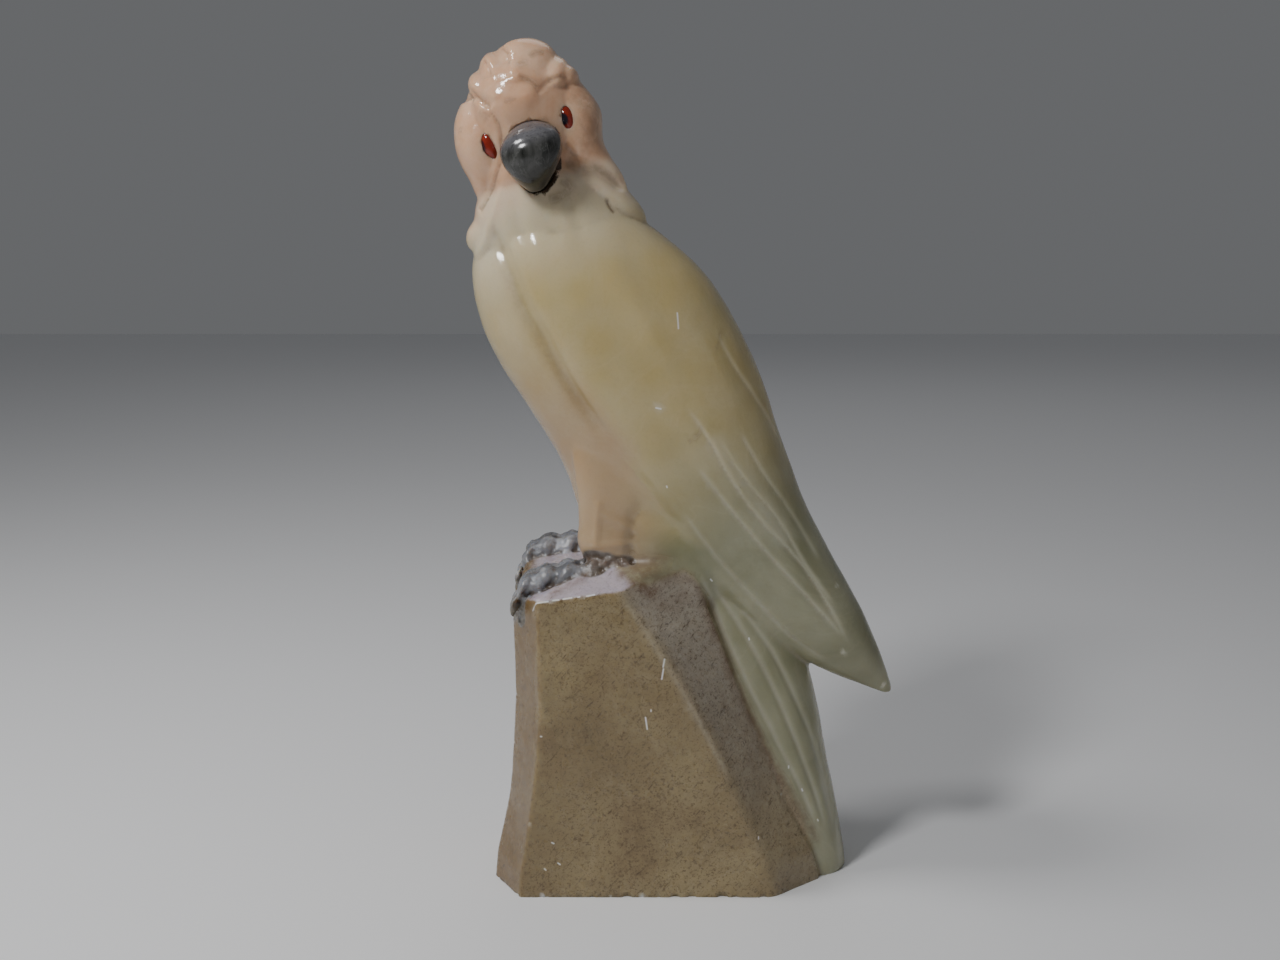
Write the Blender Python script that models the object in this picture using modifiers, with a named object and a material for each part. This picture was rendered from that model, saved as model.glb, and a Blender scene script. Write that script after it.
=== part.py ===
"""A crested parrot carved in onyx with the block it perches on, and its inset beak and eyes.

Metres, +Z up. The bird's body is in side view from -Y, leaning back towards +X, and its head
is turned to look towards -Y. The origin is at the middle of the block's underside.
"""
import math

import bmesh
import bpy
from mathutils import Matrix, Vector

# Driving sizes
FIGURE_HEIGHT = 0.150
PLINTH_HEIGHT = 0.100
PLINTH_WIDTH = 0.100
PLINTH_DEPTH = 0.064
BEAK_WIDTH = 0.0168
BEAK_LENGTH = 0.0194
BEAK_STAND = 0.0125
BEAK_SOCKET = 0.0030
EYE_LENGTH = 0.0078
EYE_WIDTH = 0.0044
EYE_THICKNESS = 0.0040
EYE_STAND = 0.0009
INLAY_GAP = 0.0003

# The figure is drawn in parts of its own height, 150 from the block's top to the crest, and
# the block in hundredths of its width and height and in shares of half its depth
FIGURE_PARTS = 150.0
UNIT = FIGURE_HEIGHT / FIGURE_PARTS
BELOW_TABLE = -0.06 * PLINTH_HEIGHT

# How finely the union of the forms is worked out, and how many triangles stay
CELL = 1.15 * UNIT
STONE_TRIANGLES = 7700
SMOOTH_ROUNDS = 3

LEG_SPREAD = 10.5
HEAD_CENTRE = (-38.3, -5.0, 123.6)
HEAD_ROLL = math.radians(-16.0)
SIDEWAYS = Vector((0.0, 1.0, 0.0))

# The inlays' places in the head's frame
BEAK_PLACE = (0.1, -15.0, -8.4)
BEAK_PROFILE = [(0.0, 0.25, 0.45, 0.0), (0.12, 0.62, 0.78, 0.0), (0.30, 0.92, 1.0, 0.2),
                (0.50, 1.0, 0.98, 0.6), (0.70, 0.90, 0.78, 1.1), (0.88, 0.70, 0.52, 1.6),
                (1.0, 0.45, 0.35, 2.0)]
EYE_PLACES = {1: (12.0, -11.9, -1.3), -1: (-12.2, -11.7, -2.1)}
EYE_TURNS = {1: math.radians(34.0), -1: math.radians(-20.0)}


def clear_scene():
    for old in list(bpy.data.objects):
        bpy.data.objects.remove(old, do_unlink=True)


def body(x, height, y=0.0):
    """A point of the figure, measured from the middle of the block's top."""
    return Vector((x * UNIT, y * UNIT, PLINTH_HEIGHT + height * UNIT))


def block(x, z, y=0.0):
    """A point of the block: hundredths of its width and height, shares of its half depth."""
    return Vector((x / 100 * PLINTH_WIDTH, y * PLINTH_DEPTH / 2, z / 100 * PLINTH_HEIGHT))


def head_frame():
    """The turned head's own frame: +X to the bird's left, -Y out of the face, +Z to the crest."""
    place = Matrix.Translation(body(HEAD_CENTRE[0], HEAD_CENTRE[2], HEAD_CENTRE[1]))
    return place @ Matrix.Rotation(HEAD_ROLL, 4, "Y") @ Matrix.Scale(UNIT, 4)


HEAD = head_frame()
HEAD_INVERSE = HEAD.inverted()
HEAD_SIDE = (HEAD.to_3x3() @ Vector((1.0, 0.0, 0.0))).normalized()


def in_head(x, y, z):
    return HEAD @ Vector((x, y, z))


def clamp(value, low=0.0, high=1.0):
    return max(low, min(high, value))


def smooth_step(low, high, value):
    share = clamp((value - low) / (high - low))
    return share * share * (3 - 2 * share)


def signed_power(value, power):
    return math.copysign(abs(value) ** power, value)


def curve_through(rows, share):
    """The smooth curve through rows of numbers, at a share of its length."""
    place = clamp(share) * (len(rows) - 1)
    step = min(int(place), len(rows) - 2)
    t = place - step
    before, start = rows[max(step - 1, 0)], rows[step]
    end, after = rows[step + 1], rows[min(step + 2, len(rows) - 1)]
    result = []
    for a, b, c, d in zip(before, start, end, after):
        bend = (c - a) * t + (2 * a - 5 * b + 4 * c - d) * t * t + (3 * b - a - 3 * c + d) * t ** 3
        result.append(b + bend / 2)
    return result


def swept_form(bm, stations, side=SIDEWAYS, sides=40, rings=48, front=2.0, back=2.0, blunt=4.0):
    """A sphere drawn out along a row of sections.

    Each station holds the section's two opposite edge points and its half width along side.
    front and back are the exponents of the section's two halves: 2 is an ellipse, 4 is boxy.
    """
    rows = [tuple(near) + tuple(far) + (width,) for near, far, width in stations]
    sphere = bmesh.ops.create_uvsphere(bm, u_segments=sides, v_segments=rings, radius=1.0)
    for vert in sphere["verts"]:
        turn = math.atan2(vert.co.y, vert.co.x)
        share = (1 - clamp(vert.co.z, -1.0, 1.0)) / 2
        fill = (1 - abs(2 * share - 1) ** blunt) ** (1 / blunt)
        row = curve_through(rows, share)
        near, far, width = Vector(row[0:3]), Vector(row[3:6]), row[6]
        power = 2 / (back if math.cos(turn) > 0 else front)
        along = signed_power(math.cos(turn), power) * fill / 2
        across = signed_power(math.sin(turn), power) * fill
        vert.co = (near + far) / 2 + (far - near) * along + side * width * across
    return sphere["verts"]


def round_form(bm, centre, radii):
    """An ellipsoid of the head, in the head's own frame."""
    place = HEAD @ Matrix.Translation(Vector(centre)) @ Matrix.Diagonal((*radii, 1.0))
    bmesh.ops.create_uvsphere(bm, u_segments=32, v_segments=24, radius=1.0, matrix=place)


def figure_sections(rows, y=0.0):
    """Sections seen from the side: front edge, back edge (x and height each) and half width."""
    return [(body(a, b, y), body(c, d, y), width * UNIT) for a, b, c, d, width in rows]


def add_torso(bm):
    rows = [(-49, 108, -16, 112, 15), (-55.5, 94, -6, 95, 20.5), (-56.6, 81, 6, 78, 23.5),
            (-53.8, 68, 14, 64, 24.5), (-48.3, 56, 20, 50, 24), (-40.8, 44, 26, 36, 22.5),
            (-33.4, 32, 31, 22, 20.5), (-28.2, 21, 34, 8, 18.5), (-24.5, 11, 34, -6, 16.5),
            (-14, 1, 32, -18, 14.5), (0, -8, 30, -28, 13)]
    swept_form(bm, figure_sections(rows), front=2.15, back=2.4, blunt=5)


def add_wings(bm):
    """The folded wings as one mantle: boxy along its leading edge, round over the back."""
    rows = [(-47, 101, -14, 106, 19), (-48, 92, 0.6, 94.7, 23.5), (-43, 77, 14.5, 80.8, 26.5),
            (-35.5, 62, 25, 62.8, 27.5), (-27, 47, 31.5, 47, 27), (-17, 34, 36.6, 32, 25.8),
            (-7, 21, 43, 15, 23.5), (3, 6, 50.1, 1.5, 21), (14, -10, 57.3, -11.5, 18.5),
            (28.5, -25.2, 63.7, -23.5, 15.5), (46, -36, 68.4, -34, 10.5),
            (60, -42.6, 71.2, -41.5, 5.5), (68.5, -46.4, 72.3, -46.2, 2.6)]
    swept_form(bm, figure_sections(rows), front=4.2, back=2.3, blunt=6, rings=64)


def add_tail(bm):
    """The tail, from under the wings down the block's slanting side to the table."""
    upper = [(-8, 22, 34, 30, 12), (-4, 0, 40, -4, 12.5), (2, -14, 42, -20, 13),
             (7, -29, 46.0, -38, 14)]
    lower = [(14, 52.4, 49.4, 46, 15), (22, 30, 53.0, 28, 15), (31, 14, 56.0, 13, 14.5),
             (36, 3, 57.9, 2, 14), (38, -8, 58.2, -8, 14)]
    stations = figure_sections(upper)
    stations += [(block(a, b), block(c, d), width * UNIT) for a, b, c, d, width in lower]
    swept_form(bm, stations, front=4, back=2.3, blunt=8)


def add_legs(bm):
    """Two boot-like legs, with the belly between and behind them coming down to the block."""
    rows = [(-27, 26, 2, 24, 9), (-25.4, 17, -4, 16, 8.6), (-24.8, 9, -5.6, 8, 8.2),
            (-25.2, 3, -5, 2, 9), (-22.5, -5, -7, -6, 8)]
    for y in (-LEG_SPREAD, LEG_SPREAD):
        swept_form(bm, figure_sections(rows, y), front=3, back=3, blunt=5, sides=24, rings=24)
    rows = [(-24, 24, 26, 14, 17), (-21, 12, 22, 4, 18), (-20, 2, 18, -4, 18.5),
            (-20, -8, 16, -10, 18)]
    swept_form(bm, figure_sections(rows), front=2.5, back=3, blunt=4, sides=32, rings=24)


def add_toe(bm, points, radius, knuckles):
    """One toe: a rounded strand along its points, swelling at each knuckle."""
    count = 4 * len(points)
    stations = []
    for index in range(count + 1):
        share = index / count
        middle = Vector(curve_through([tuple(point) for point in points], share))
        swell = 1 + 0.16 * math.sin(share * knuckles * 2 * math.pi)
        size = radius * swell * (1 - 0.25 * share)
        rise = Vector((0.35, 0.0, 0.94)) * size
        stations.append((middle - rise, middle + rise, size))
    swept_form(bm, stations, blunt=3, sides=16, rings=36)


def add_feet(bm):
    """Each foot has two toes laid over the block's edge and a short one behind the leg."""
    for hand in (-1, 1):
        for spread in (LEG_SPREAD + 0.5, LEG_SPREAD + 7.5):
            points = [body(-19, -1.0), block(-27, 96.4), block(-35, 96), block(-41.4, 94),
                      block(-44.9, 89.3), block(-43.8, 82)]
            for point in points:
                point.y = hand * spread * UNIT
                point.z += 0.4 * (1 + hand) * UNIT
            add_toe(bm, points, 4.8 * UNIT, 5)
        points = [body(-10, 0.5), block(-4, 96.5), block(0.5, 92)]
        for point in points:
            point.y = hand * (LEG_SPREAD + 7.5) * UNIT
        add_toe(bm, points, 3.2 * UNIT, 2)


def add_neck(bm):
    rows = [(-50, 116, -25, 120, 13), (-53, 107, -15, 111, 16), (-55, 100, -9, 101, 19),
            (-55.8, 90, 1, 92, 21.5), (-54, 78, 8, 82, 22)]
    turned = (-4.0, -3.5, -2.0, 0.0, 0.0)
    stations = [figure_sections([row], y)[0] for row, y in zip(rows, turned)]
    swept_form(bm, stations, front=2.2, back=2.2, blunt=4)
    lobe = [(-48, 111, -34, 108, 8), (-53.0, 101, -34, 99, 9.5), (-57.4, 94.2, -36, 92, 9.5),
            (-57.6, 88.6, -42, 87, 6)]
    swept_form(bm, figure_sections(lobe, -4), blunt=4, sides=24, rings=24)


def add_lappet(bm, rows, hand):
    """A lobe of feathers beside the face, in the head's frame, from its root to its tip."""
    stations = []
    for outer, inner, low, middle, depth in rows:
        near = in_head(hand * outer, middle, low)
        far = in_head(hand * inner, middle, low)
        stations.append((near, far, depth * UNIT))
    swept_form(bm, stations, front=2.2, back=2.0, blunt=4, sides=32, rings=40)


def add_crest_feather(bm, x, top, half_width):
    """One feather of the crest, from the forehead over the crown to the nape."""
    stations = []
    for degrees in (-62, -35, -10, 15, 45, 75, 100, 122):
        angle = math.radians(degrees)
        swing = Vector((0.0, math.sin(angle), math.cos(angle)))
        outer = Vector((x, 2 + 19.5 * swing.y, 2 + (top - 2) * swing.z))
        inner = Vector((x * 0.5, 2 + 4 * swing.y, 2 + 4 * swing.z))
        width = half_width * (0.75 + 0.25 * swing.z)
        stations.append((HEAD @ outer, HEAD @ inner, width * UNIT))
    swept_form(bm, stations, side=HEAD_SIDE, front=2.0, back=2.6, blunt=4, sides=32, rings=40)


def add_head(bm):
    """Skull, crown, brow and chin, then the crest's feathers, the cheeks and the ruff."""
    round_form(bm, (0, 2, 2), (17.8, 18.5, 19))
    round_form(bm, (0, 2.5, 6), (16.8, 17.5, 16.5))
    round_form(bm, (-1, -5.5, 6), (13, 11.5, 13.5))
    round_form(bm, (-2, -3.5, -11), (15.5, 11, 13))
    feathers = ((3.4, 25.5, 11.2), (-5.6, 24.4, 6.4), (-11.0, 19.6, 5.6), (11.4, 18.4, 7.0))
    for x, top, half_width in feathers:
        add_crest_feather(bm, x, top, half_width)
    left_cheek = [(17.4, 2, 13.5, 3, 11), (19.8, 2, 5.5, 1, 12), (21.2, 3, -1, 0, 12.5),
                  (19.5, 6, -8.5, -1, 11), (20.3, 10, -14, -2, 8), (22.3, 16, -19.5, -3, 5),
                  (23.0, 20.4, -25.5, -3, 2.5)]
    add_lappet(bm, left_cheek, 1)
    right_cheek = [(16.8, 4, 15.6, 4, 7), (20.4, 3, 8.5, 1, 10), (22.0, 4, 1.5, 0, 11.5),
                   (21.8, 6.5, -4.5, -1, 10.5), (20.6, 9.5, -9.5, -2, 8), (20.2, 14, -14, -2.5, 5),
                   (19.9, 18, -17.8, -3, 2.5)]
    add_lappet(bm, right_cheek, -1)
    for hand, lift, swell in ((1, 0, 0), (-1, 3.0, 0.8)):
        ruff = [(14, 4, -10, 1, 14), (18.9, 6, -18, 1, 14), (22.8 + swell, 10, -25, 1, 12),
                (25.4 + swell, 16, -31 + lift / 2, 1, 9), (25.6 + swell, 22.5, -35.5 + lift, 1, 4.5)]
        add_lappet(bm, ruff, hand)


def plinth_corner(which, z):
    """A corner of the block's eight-sided outline at a height in hundredths."""
    rows = {
        "left front": [(-51.2, -0.50), (-46.5, -0.38), (-44.4, -0.38), (-44.4, -0.38), (-45.4, -0.38)],
        "front left": [(-42.5, -0.97), (-38.8, -0.94), (-35.9, -0.92), (-36.0, -0.90), (-37.0, -0.88)],
        "front ridge": [(34.0, -1.0), (24.0, -0.97), (13.2, -0.94), (-0.5, -0.91), (-18, -0.88)],
        "right front": [(50.5, -0.48), (37.0, -0.54), (27.0, -0.56), (17.5, -0.56), (9.0, -0.56)],
        "right back": [(50.0, 0.50), (37.0, 0.52), (27.0, 0.55), (17.5, 0.55), (9.0, 0.55)],
        "back right": [(30.0, 0.97), (22.0, 0.95), (12.0, 0.92), (-1.0, 0.90), (-12, 0.88)],
        "back left": [(-41.0, 0.98), (-38.5, 0.95), (-36.5, 0.92), (-36.0, 0.90), (-36.5, 0.88)],
        "left back": [(-49.5, 0.45), (-46.8, 0.42), (-45.2, 0.40), (-44.6, 0.40), (-45.2, 0.40)],
    }
    x, y = curve_through(rows[which], z / 100)
    return block(x, z, y)


CORNERS = ("right front", "right back", "back right", "back left",
           "left back", "left front", "front left", "front ridge")


def plinth_form():
    """The block: an eight-sided prism, its corners moved level by level, its top cut by planes."""
    bm = bmesh.new()
    bmesh.ops.create_cone(bm, cap_ends=True, segments=len(CORNERS), radius1=1, radius2=1, depth=2)
    levels = (12, 25, 37, 50, 62, 75, 88)
    for level in levels:
        height = level / 50 - 1
        everything = bm.verts[:] + bm.edges[:] + bm.faces[:]
        bmesh.ops.bisect_plane(bm, geom=everything, plane_co=(0, 0, height), plane_no=(0, 0, 1))
    for vert in bm.verts:
        turn = math.atan2(vert.co.y, vert.co.x) / (2 * math.pi) * len(CORNERS)
        which = CORNERS[round(turn) % len(CORNERS)]
        z = (vert.co.z + 1) * 50
        vert.co = plinth_corner(which, z)
        if z < 1:
            vert.co.z = BELOW_TABLE
        elif z > 99:
            vert.co.z = PLINTH_HEIGHT * 1.1
    cuts = [
        (block(-36.8, 88.4, -0.90), block(-15.7, 91.4, -0.90), block(-17.0, 98.4, -0.62)),
        (block(-17.0, 98.4, -0.62), block(-44, 86.5, -0.6), block(-17.0, 98.4, 0.6)),
        (block(-15.7, 91.4, 0.90), block(-36.8, 88.4, 0.90), block(-17.0, 98.4, 0.62)),
        (block(-17.0, 98.6, -0.62), block(10, 97.4, 0.6), block(10, 97.4, -0.6)),
    ]
    for a, b, c in cuts:
        normal = (b - a).cross(c - a).normalized()
        if normal.z < 0:
            normal.negate()
        everything = bm.verts[:] + bm.edges[:] + bm.faces[:]
        cut = bmesh.ops.bisect_plane(bm, geom=everything, plane_co=a, plane_no=normal, clear_outer=True)
        edges = [item for item in cut["geom_cut"] if isinstance(item, bmesh.types.BMEdge)]
        bmesh.ops.holes_fill(bm, edges=edges)
    mesh = bpy.data.meshes.new("plinth")
    bm.to_mesh(mesh)
    bm.free()
    return mesh


# Lines carved into the flanks, in the figure's parts: points in side view, depth and width
WING_EDGE = ([(-49.5, 97), (-46.2, 89.5), (-40.2, 74.7), (-33.8, 63.7), (-27.6, 52.0),
              (-18.0, 38.2), (-10.8, 30.1), (-4.2, 24.6), (-1, 19)], 0.9, 2.6)
FEATHER_EDGES = [
    ([(14, 21.5), (24.1, 7.1), (31.6, -1.8), (40.5, -12.3), (49.6, -24.5), (56, -33)], 0.9, 6.5),
    ([(10, 31), (15.5, 25.7), (28.2, 10.1), (40.4, -2.1), (52, -17)], 0.8, 6.0),
    ([(8, 51), (16.7, 41.5), (22.8, 32.8), (33.8, 19.8), (45, 4), (55, -12)], 0.8, 6.5),
    ([(12, 66), (18.2, 57.7), (25.6, 44.3), (31.0, 32.8), (40.0, 18.0), (50, 0)], 0.7, 6.0),
    ([(6, 14), (16, 0.5), (27, -12), (38, -24), (50, -33)], 0.7, 5.0),
]
TAIL_GROOVES = [
    ([(13.5, 89), (14.1, 87.1), (19, 69.2), (26.7, 53.7), (35.4, 36.3), (42.6, 22)], 0.9, 1.6),
    ([(20.4, 84.5), (30.2, 66.8), (36.5, 51.8), (40.9, 41), (47.6, 23)], 0.9, 1.6),
    ([(27.6, 76.5), (33.6, 68.7), (38.6, 58), (45.2, 45.1), (51.2, 27)], 0.8, 1.5),
]
THROAT_FLUTES = ((-10.5, 1.9), (-5.0, 1.6), (0.5, 1.6), (6.5, 2.0))


def line_offset(x, z, points):
    """The nearest place on a line seen from the side: how far, on which side, at what share."""
    best = (1e9, 1.0, 0.0)
    for index, ((ax, az), (bx, bz)) in enumerate(zip(points, points[1:])):
        dx, dz = bx - ax, bz - az
        along = clamp(((x - ax) * dx + (z - az) * dz) / (dx * dx + dz * dz))
        ox, oz = x - ax - along * dx, z - az - along * dz
        far = math.hypot(ox, oz)
        if far < best[0]:
            side = -1.0 if dx * oz - dz * ox > 0 else 1.0
            best = (far, side, (index + along) / (len(points) - 1))
    return best


def groove_depth(x, z, line):
    points, depth, width = line
    far, side, share = line_offset(x, z, points)
    fade = smooth_step(0.0, 0.12, share) * smooth_step(1.0, 0.88, share)
    return depth * fade * math.exp(-((far / width) ** 2))


def step_depth(x, z, line):
    """A feather's edge: the surface below the line starts low and rises away from it."""
    points, depth, width = line
    far, side, share = line_offset(x, z, points)
    if far > width:
        return 0.0
    fade = smooth_step(0.0, 0.25, share) * smooth_step(1.0, 0.85, share)
    if side > 0:
        return depth * fade * (1 - far / width) ** 1.5
    return depth * fade * math.exp(-((far / 0.6) ** 2)) * 0.6


def carving_depth(point, normal):
    """How deep the carver cut at a place on the figure, in the figure's parts."""
    x, z = point.x / UNIT, (point.z - PLINTH_HEIGHT) / UNIT
    facing = smooth_step(0.12, 0.45, abs(normal.y))
    deep = 0.0
    if -48 < z < 102 and facing > 0:
        deep += facing * groove_depth(x, z, WING_EDGE)
        for line in FEATHER_EDGES:
            deep += facing * step_depth(x, z, line)
    across, up = point.x / PLINTH_WIDTH * 100, point.z / PLINTH_HEIGHT * 100
    if 20 < up < 96 and across > 8 and facing > 0:
        for line in TAIL_GROOVES:
            deep += facing * groove_depth(across, up, line)
    if normal.x > 0.2 and -44 < z < 45:
        fade = smooth_step(45, 25, z) * smooth_step(-44, -36, z)
        deep += 1.1 * fade * math.exp(-((point.y / UNIT / 1.6) ** 2))
    local = HEAD_INVERSE @ point
    if -32 < local.z < -14 and local.y < -2:
        fade = smooth_step(-32, -26, local.z) * smooth_step(-14, -18, local.z)
        for middle, width in THROAT_FLUTES:
            deep += 0.7 * fade * math.exp(-(((local.x - middle) / width) ** 2))
    return deep


def carve(mesh):
    cuts = [carving_depth(vert.co, vert.normal) * UNIT for vert in mesh.vertices]
    moved = [vert.co - vert.normal * cut for vert, cut in zip(mesh.vertices, cuts)]
    for vert, place in zip(mesh.vertices, moved):
        vert.co = place


def evaluated_copy(thing):
    """The mesh that an object's modifiers give, as a mesh of its own."""
    graph = bpy.context.evaluated_depsgraph_get()
    return bpy.data.meshes.new_from_object(thing.evaluated_get(graph))


def settle(thing):
    """Turn the object's modifiers into its mesh."""
    thing.data = evaluated_copy(thing)
    thing.modifiers.clear()


def all_forms():
    bm = bmesh.new()
    add_torso(bm)
    add_wings(bm)
    add_tail(bm)
    add_legs(bm)
    add_feet(bm)
    add_neck(bm)
    add_head(bm)
    bm.from_mesh(plinth_form())
    mesh = bpy.data.meshes.new("forms")
    bm.to_mesh(mesh)
    bm.free()
    return mesh


def cut_underside(mesh):
    """Saw the figure and the block off flat where they stand on the table."""
    bm = bmesh.new()
    bm.from_mesh(mesh)
    everything = bm.verts[:] + bm.edges[:] + bm.faces[:]
    cut = bmesh.ops.bisect_plane(bm, geom=everything, plane_co=(0, 0, 0), plane_no=(0, 0, -1),
                                 dist=1e-6, clear_outer=True)
    edges = [item for item in cut["geom_cut"] if isinstance(item, bmesh.types.BMEdge)]
    bmesh.ops.holes_fill(bm, edges=edges)
    bmesh.ops.triangulate(bm, faces=bm.faces[:])
    bm.to_mesh(mesh)
    bm.free()


def carved_stone(collection):
    """The bird and its block as one piece of stone, without the sockets."""
    stone = bpy.data.objects.new("parrot_on_plinth", all_forms())
    collection.objects.link(stone)
    union = stone.modifiers.new("union", "REMESH")
    union.mode = "VOXEL"
    union.voxel_size = CELL
    soften = stone.modifiers.new("soften", "SMOOTH")
    soften.factor = 0.5
    soften.iterations = SMOOTH_ROUNDS
    settle(stone)
    carve(stone.data)
    triangles = 2 * len(stone.data.polygons)
    thin = stone.modifiers.new("thin", "DECIMATE")
    thin.ratio = STONE_TRIANGLES / triangles
    settle(stone)
    cut_underside(stone.data)
    return stone


def beak_mesh(gap):
    """The beak, standing out of its socket, made larger all round by the gap."""
    half, tall = BEAK_WIDTH / 2 / UNIT, BEAK_LENGTH / UNIT
    stand, back = BEAK_STAND / UNIT, BEAK_SOCKET / UNIT
    grow = gap / UNIT
    bm = bmesh.new()
    stations = []
    for fall, front, width, sway in BEAK_PROFILE:
        x = BEAK_PLACE[0] - sway
        z = BEAK_PLACE[2] + (0.5 - fall) * (tall + 2 * grow)
        near = in_head(x, BEAK_PLACE[1] - stand * front - grow, z)
        far = in_head(x, BEAK_PLACE[1] + back + grow, z)
        stations.append((near, far, (half * width + grow) * UNIT))
    swept_form(bm, stations, side=HEAD_SIDE, front=2.0, back=6.0, blunt=3.0, sides=20, rings=14)
    if bm.calc_volume(signed=True) < 0:
        bmesh.ops.reverse_faces(bm, faces=bm.faces[:])
    mesh = bpy.data.meshes.new("beak")
    bm.to_mesh(mesh)
    bm.free()
    return mesh


def eye_mesh(hand, gap):
    """An almond bead, set in the side of the face and leaning as the head does."""
    turned = Matrix.Rotation(EYE_TURNS[hand], 4, "Z")
    place = HEAD @ Matrix.Translation(Vector(EYE_PLACES[hand])) @ turned
    inward = (EYE_STAND - EYE_THICKNESS / 2) / UNIT
    place = place @ Matrix.Translation(Vector((0, -inward, 0))) @ Matrix.Scale(1 / UNIT, 4)
    sizes = (EYE_WIDTH / 2 + gap, EYE_THICKNESS / 2 + gap, EYE_LENGTH / 2 + gap)
    bm = bmesh.new()
    bmesh.ops.create_uvsphere(bm, u_segments=14, v_segments=10, radius=1.0,
                              matrix=place @ Matrix.Diagonal((*sizes, 1.0)))
    mesh = bpy.data.meshes.new("eye")
    bm.to_mesh(mesh)
    bm.free()
    return mesh


def sink(stone, name, mesh, cutters):
    """Cut a socket in the stone."""
    cutter = bpy.data.objects.new(name, mesh)
    cutter.hide_render = True
    cutter.display_type = "WIRE"
    cutters.objects.link(cutter)
    socket = stone.modifiers.new(name, "BOOLEAN")
    socket.operation = "DIFFERENCE"
    socket.solver = "EXACT"
    socket.object = cutter


def stone_material(name, colour, roughness):
    material = bpy.data.materials.new(name)
    material.use_nodes = True
    shader = material.node_tree.nodes["Principled BSDF"]
    shader.inputs["Base Color"].default_value = (*colour, 1.0)
    shader.inputs["Roughness"].default_value = roughness
    return material


def inlay(name, mesh, material, collection):
    thing = bpy.data.objects.new(name, mesh)
    thing.data.materials.append(material)
    thing.data.shade_smooth()
    collection.objects.link(thing)


def main():
    clear_scene()
    parts = bpy.data.collections.new("onyx parrot carving")
    cutters = bpy.data.collections.new("cutters")
    bpy.context.scene.collection.children.link(parts)
    bpy.context.scene.collection.children.link(cutters)
    stone = carved_stone(parts)
    stone.data.materials.append(stone_material("onyx", (0.62, 0.53, 0.36), 0.25))
    stone.data.shade_smooth()
    sink(stone, "beak_socket", beak_mesh(INLAY_GAP), cutters)
    sink(stone, "eye_socket_left", eye_mesh(1, INLAY_GAP), cutters)
    sink(stone, "eye_socket_right", eye_mesh(-1, INLAY_GAP), cutters)
    inlay("beak", beak_mesh(0.0), stone_material("grey_marble", (0.11, 0.12, 0.12), 0.2), parts)
    red_glass = stone_material("red_glass", (0.35, 0.04, 0.01), 0.1)
    inlay("eye_left", eye_mesh(1, 0.0), red_glass, parts)
    inlay("eye_right", eye_mesh(-1, 0.0), red_glass, parts)


main()
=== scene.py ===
"""An onyx parrot carving on its block, with its marble beak and red eyes, finished for rendering.

Metres, +Z up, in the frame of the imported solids: the bird's body is in side view from -Y and its
head is turned to look towards -Y. The figure is drawn in parts of its own height, as the solids
are, and the block in hundredths of its width and height and shares of half its depth.
"""
import math
import random

import bmesh
import bpy
import numpy as np
from mathutils import Matrix, Vector, noise
from mathutils.bvhtree import BVHTree


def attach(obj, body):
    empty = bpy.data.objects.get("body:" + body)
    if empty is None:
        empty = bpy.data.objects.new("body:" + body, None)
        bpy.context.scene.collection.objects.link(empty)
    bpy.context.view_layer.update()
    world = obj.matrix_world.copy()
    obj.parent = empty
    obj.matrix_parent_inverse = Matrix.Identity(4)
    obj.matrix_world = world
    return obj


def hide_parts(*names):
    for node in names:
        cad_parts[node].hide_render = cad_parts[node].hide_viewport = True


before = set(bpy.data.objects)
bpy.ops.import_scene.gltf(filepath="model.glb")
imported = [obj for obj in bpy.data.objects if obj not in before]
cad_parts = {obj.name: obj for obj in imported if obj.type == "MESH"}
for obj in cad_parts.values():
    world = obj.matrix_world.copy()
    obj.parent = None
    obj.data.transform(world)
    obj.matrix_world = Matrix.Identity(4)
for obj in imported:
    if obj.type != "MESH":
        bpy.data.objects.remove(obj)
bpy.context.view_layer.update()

FIGURE_HEIGHT = 0.150
PLINTH_HEIGHT = 0.100
PLINTH_WIDTH = 0.100
PLINTH_DEPTH = 0.064
UNIT = FIGURE_HEIGHT / 150.0
BELOW_TABLE = -0.06 * PLINTH_HEIGHT
INLAY_GAP = 0.00015

CELL = 0.00062
STONE_TRIANGLES = 186000
SMOOTH_ROUNDS = 6

LEG_SPREAD = 10.5
TOE_SPREADS = (LEG_SPREAD + 0.5, LEG_SPREAD + 7.5)
CLAW_SPREAD = LEG_SPREAD + 7.8
TOE_KNUCKLES = 5
CLAW_KNUCKLES = 2
HEAD_CENTRE = (-38.3, -5.0, 123.6)
HEAD_ROLL = math.radians(-16.0)
SIDEWAYS = Vector((0.0, 1.0, 0.0))

BEAK_WIDTH = 0.0174
BEAK_LENGTH = 0.0192
BEAK_STAND = 0.0125
BEAK_SOCKET = 0.0030
BEAK_PLACE = (0.1, -15.0, -8.8)
BEAK_PROFILE = [(0.0, 0.25, 0.45, 0.0), (0.12, 0.62, 0.78, 0.0), (0.30, 0.92, 1.0, 0.2),
                (0.50, 1.0, 0.98, 0.6), (0.70, 0.90, 0.78, 1.1), (0.88, 0.70, 0.52, 1.6),
                (1.0, 0.45, 0.35, 2.0)]
GLUE_MIDDLE = (0.1, -9.0)
GLUE_REACH = 0.0028
EYE_SIZE = (0.0044, 0.0040, 0.0078)
EYE_STAND = 0.0009
EYE_PLACES = {1: (12.0, -11.9, -1.3), -1: (-12.2, -11.7, -2.1)}
EYE_TURNS = {1: math.radians(34.0), -1: math.radians(-20.0)}
CAMERA_PLACE = (-0.0065, -0.4275, 0.1879)
CAMERA_PITCH = math.radians(81.0)
WHITE_STREAK_WIDTH = 0.00034


# Measuring the figure

def body(x, height, y=0.0):
    return Vector((x * UNIT, y * UNIT, PLINTH_HEIGHT + height * UNIT))


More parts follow.
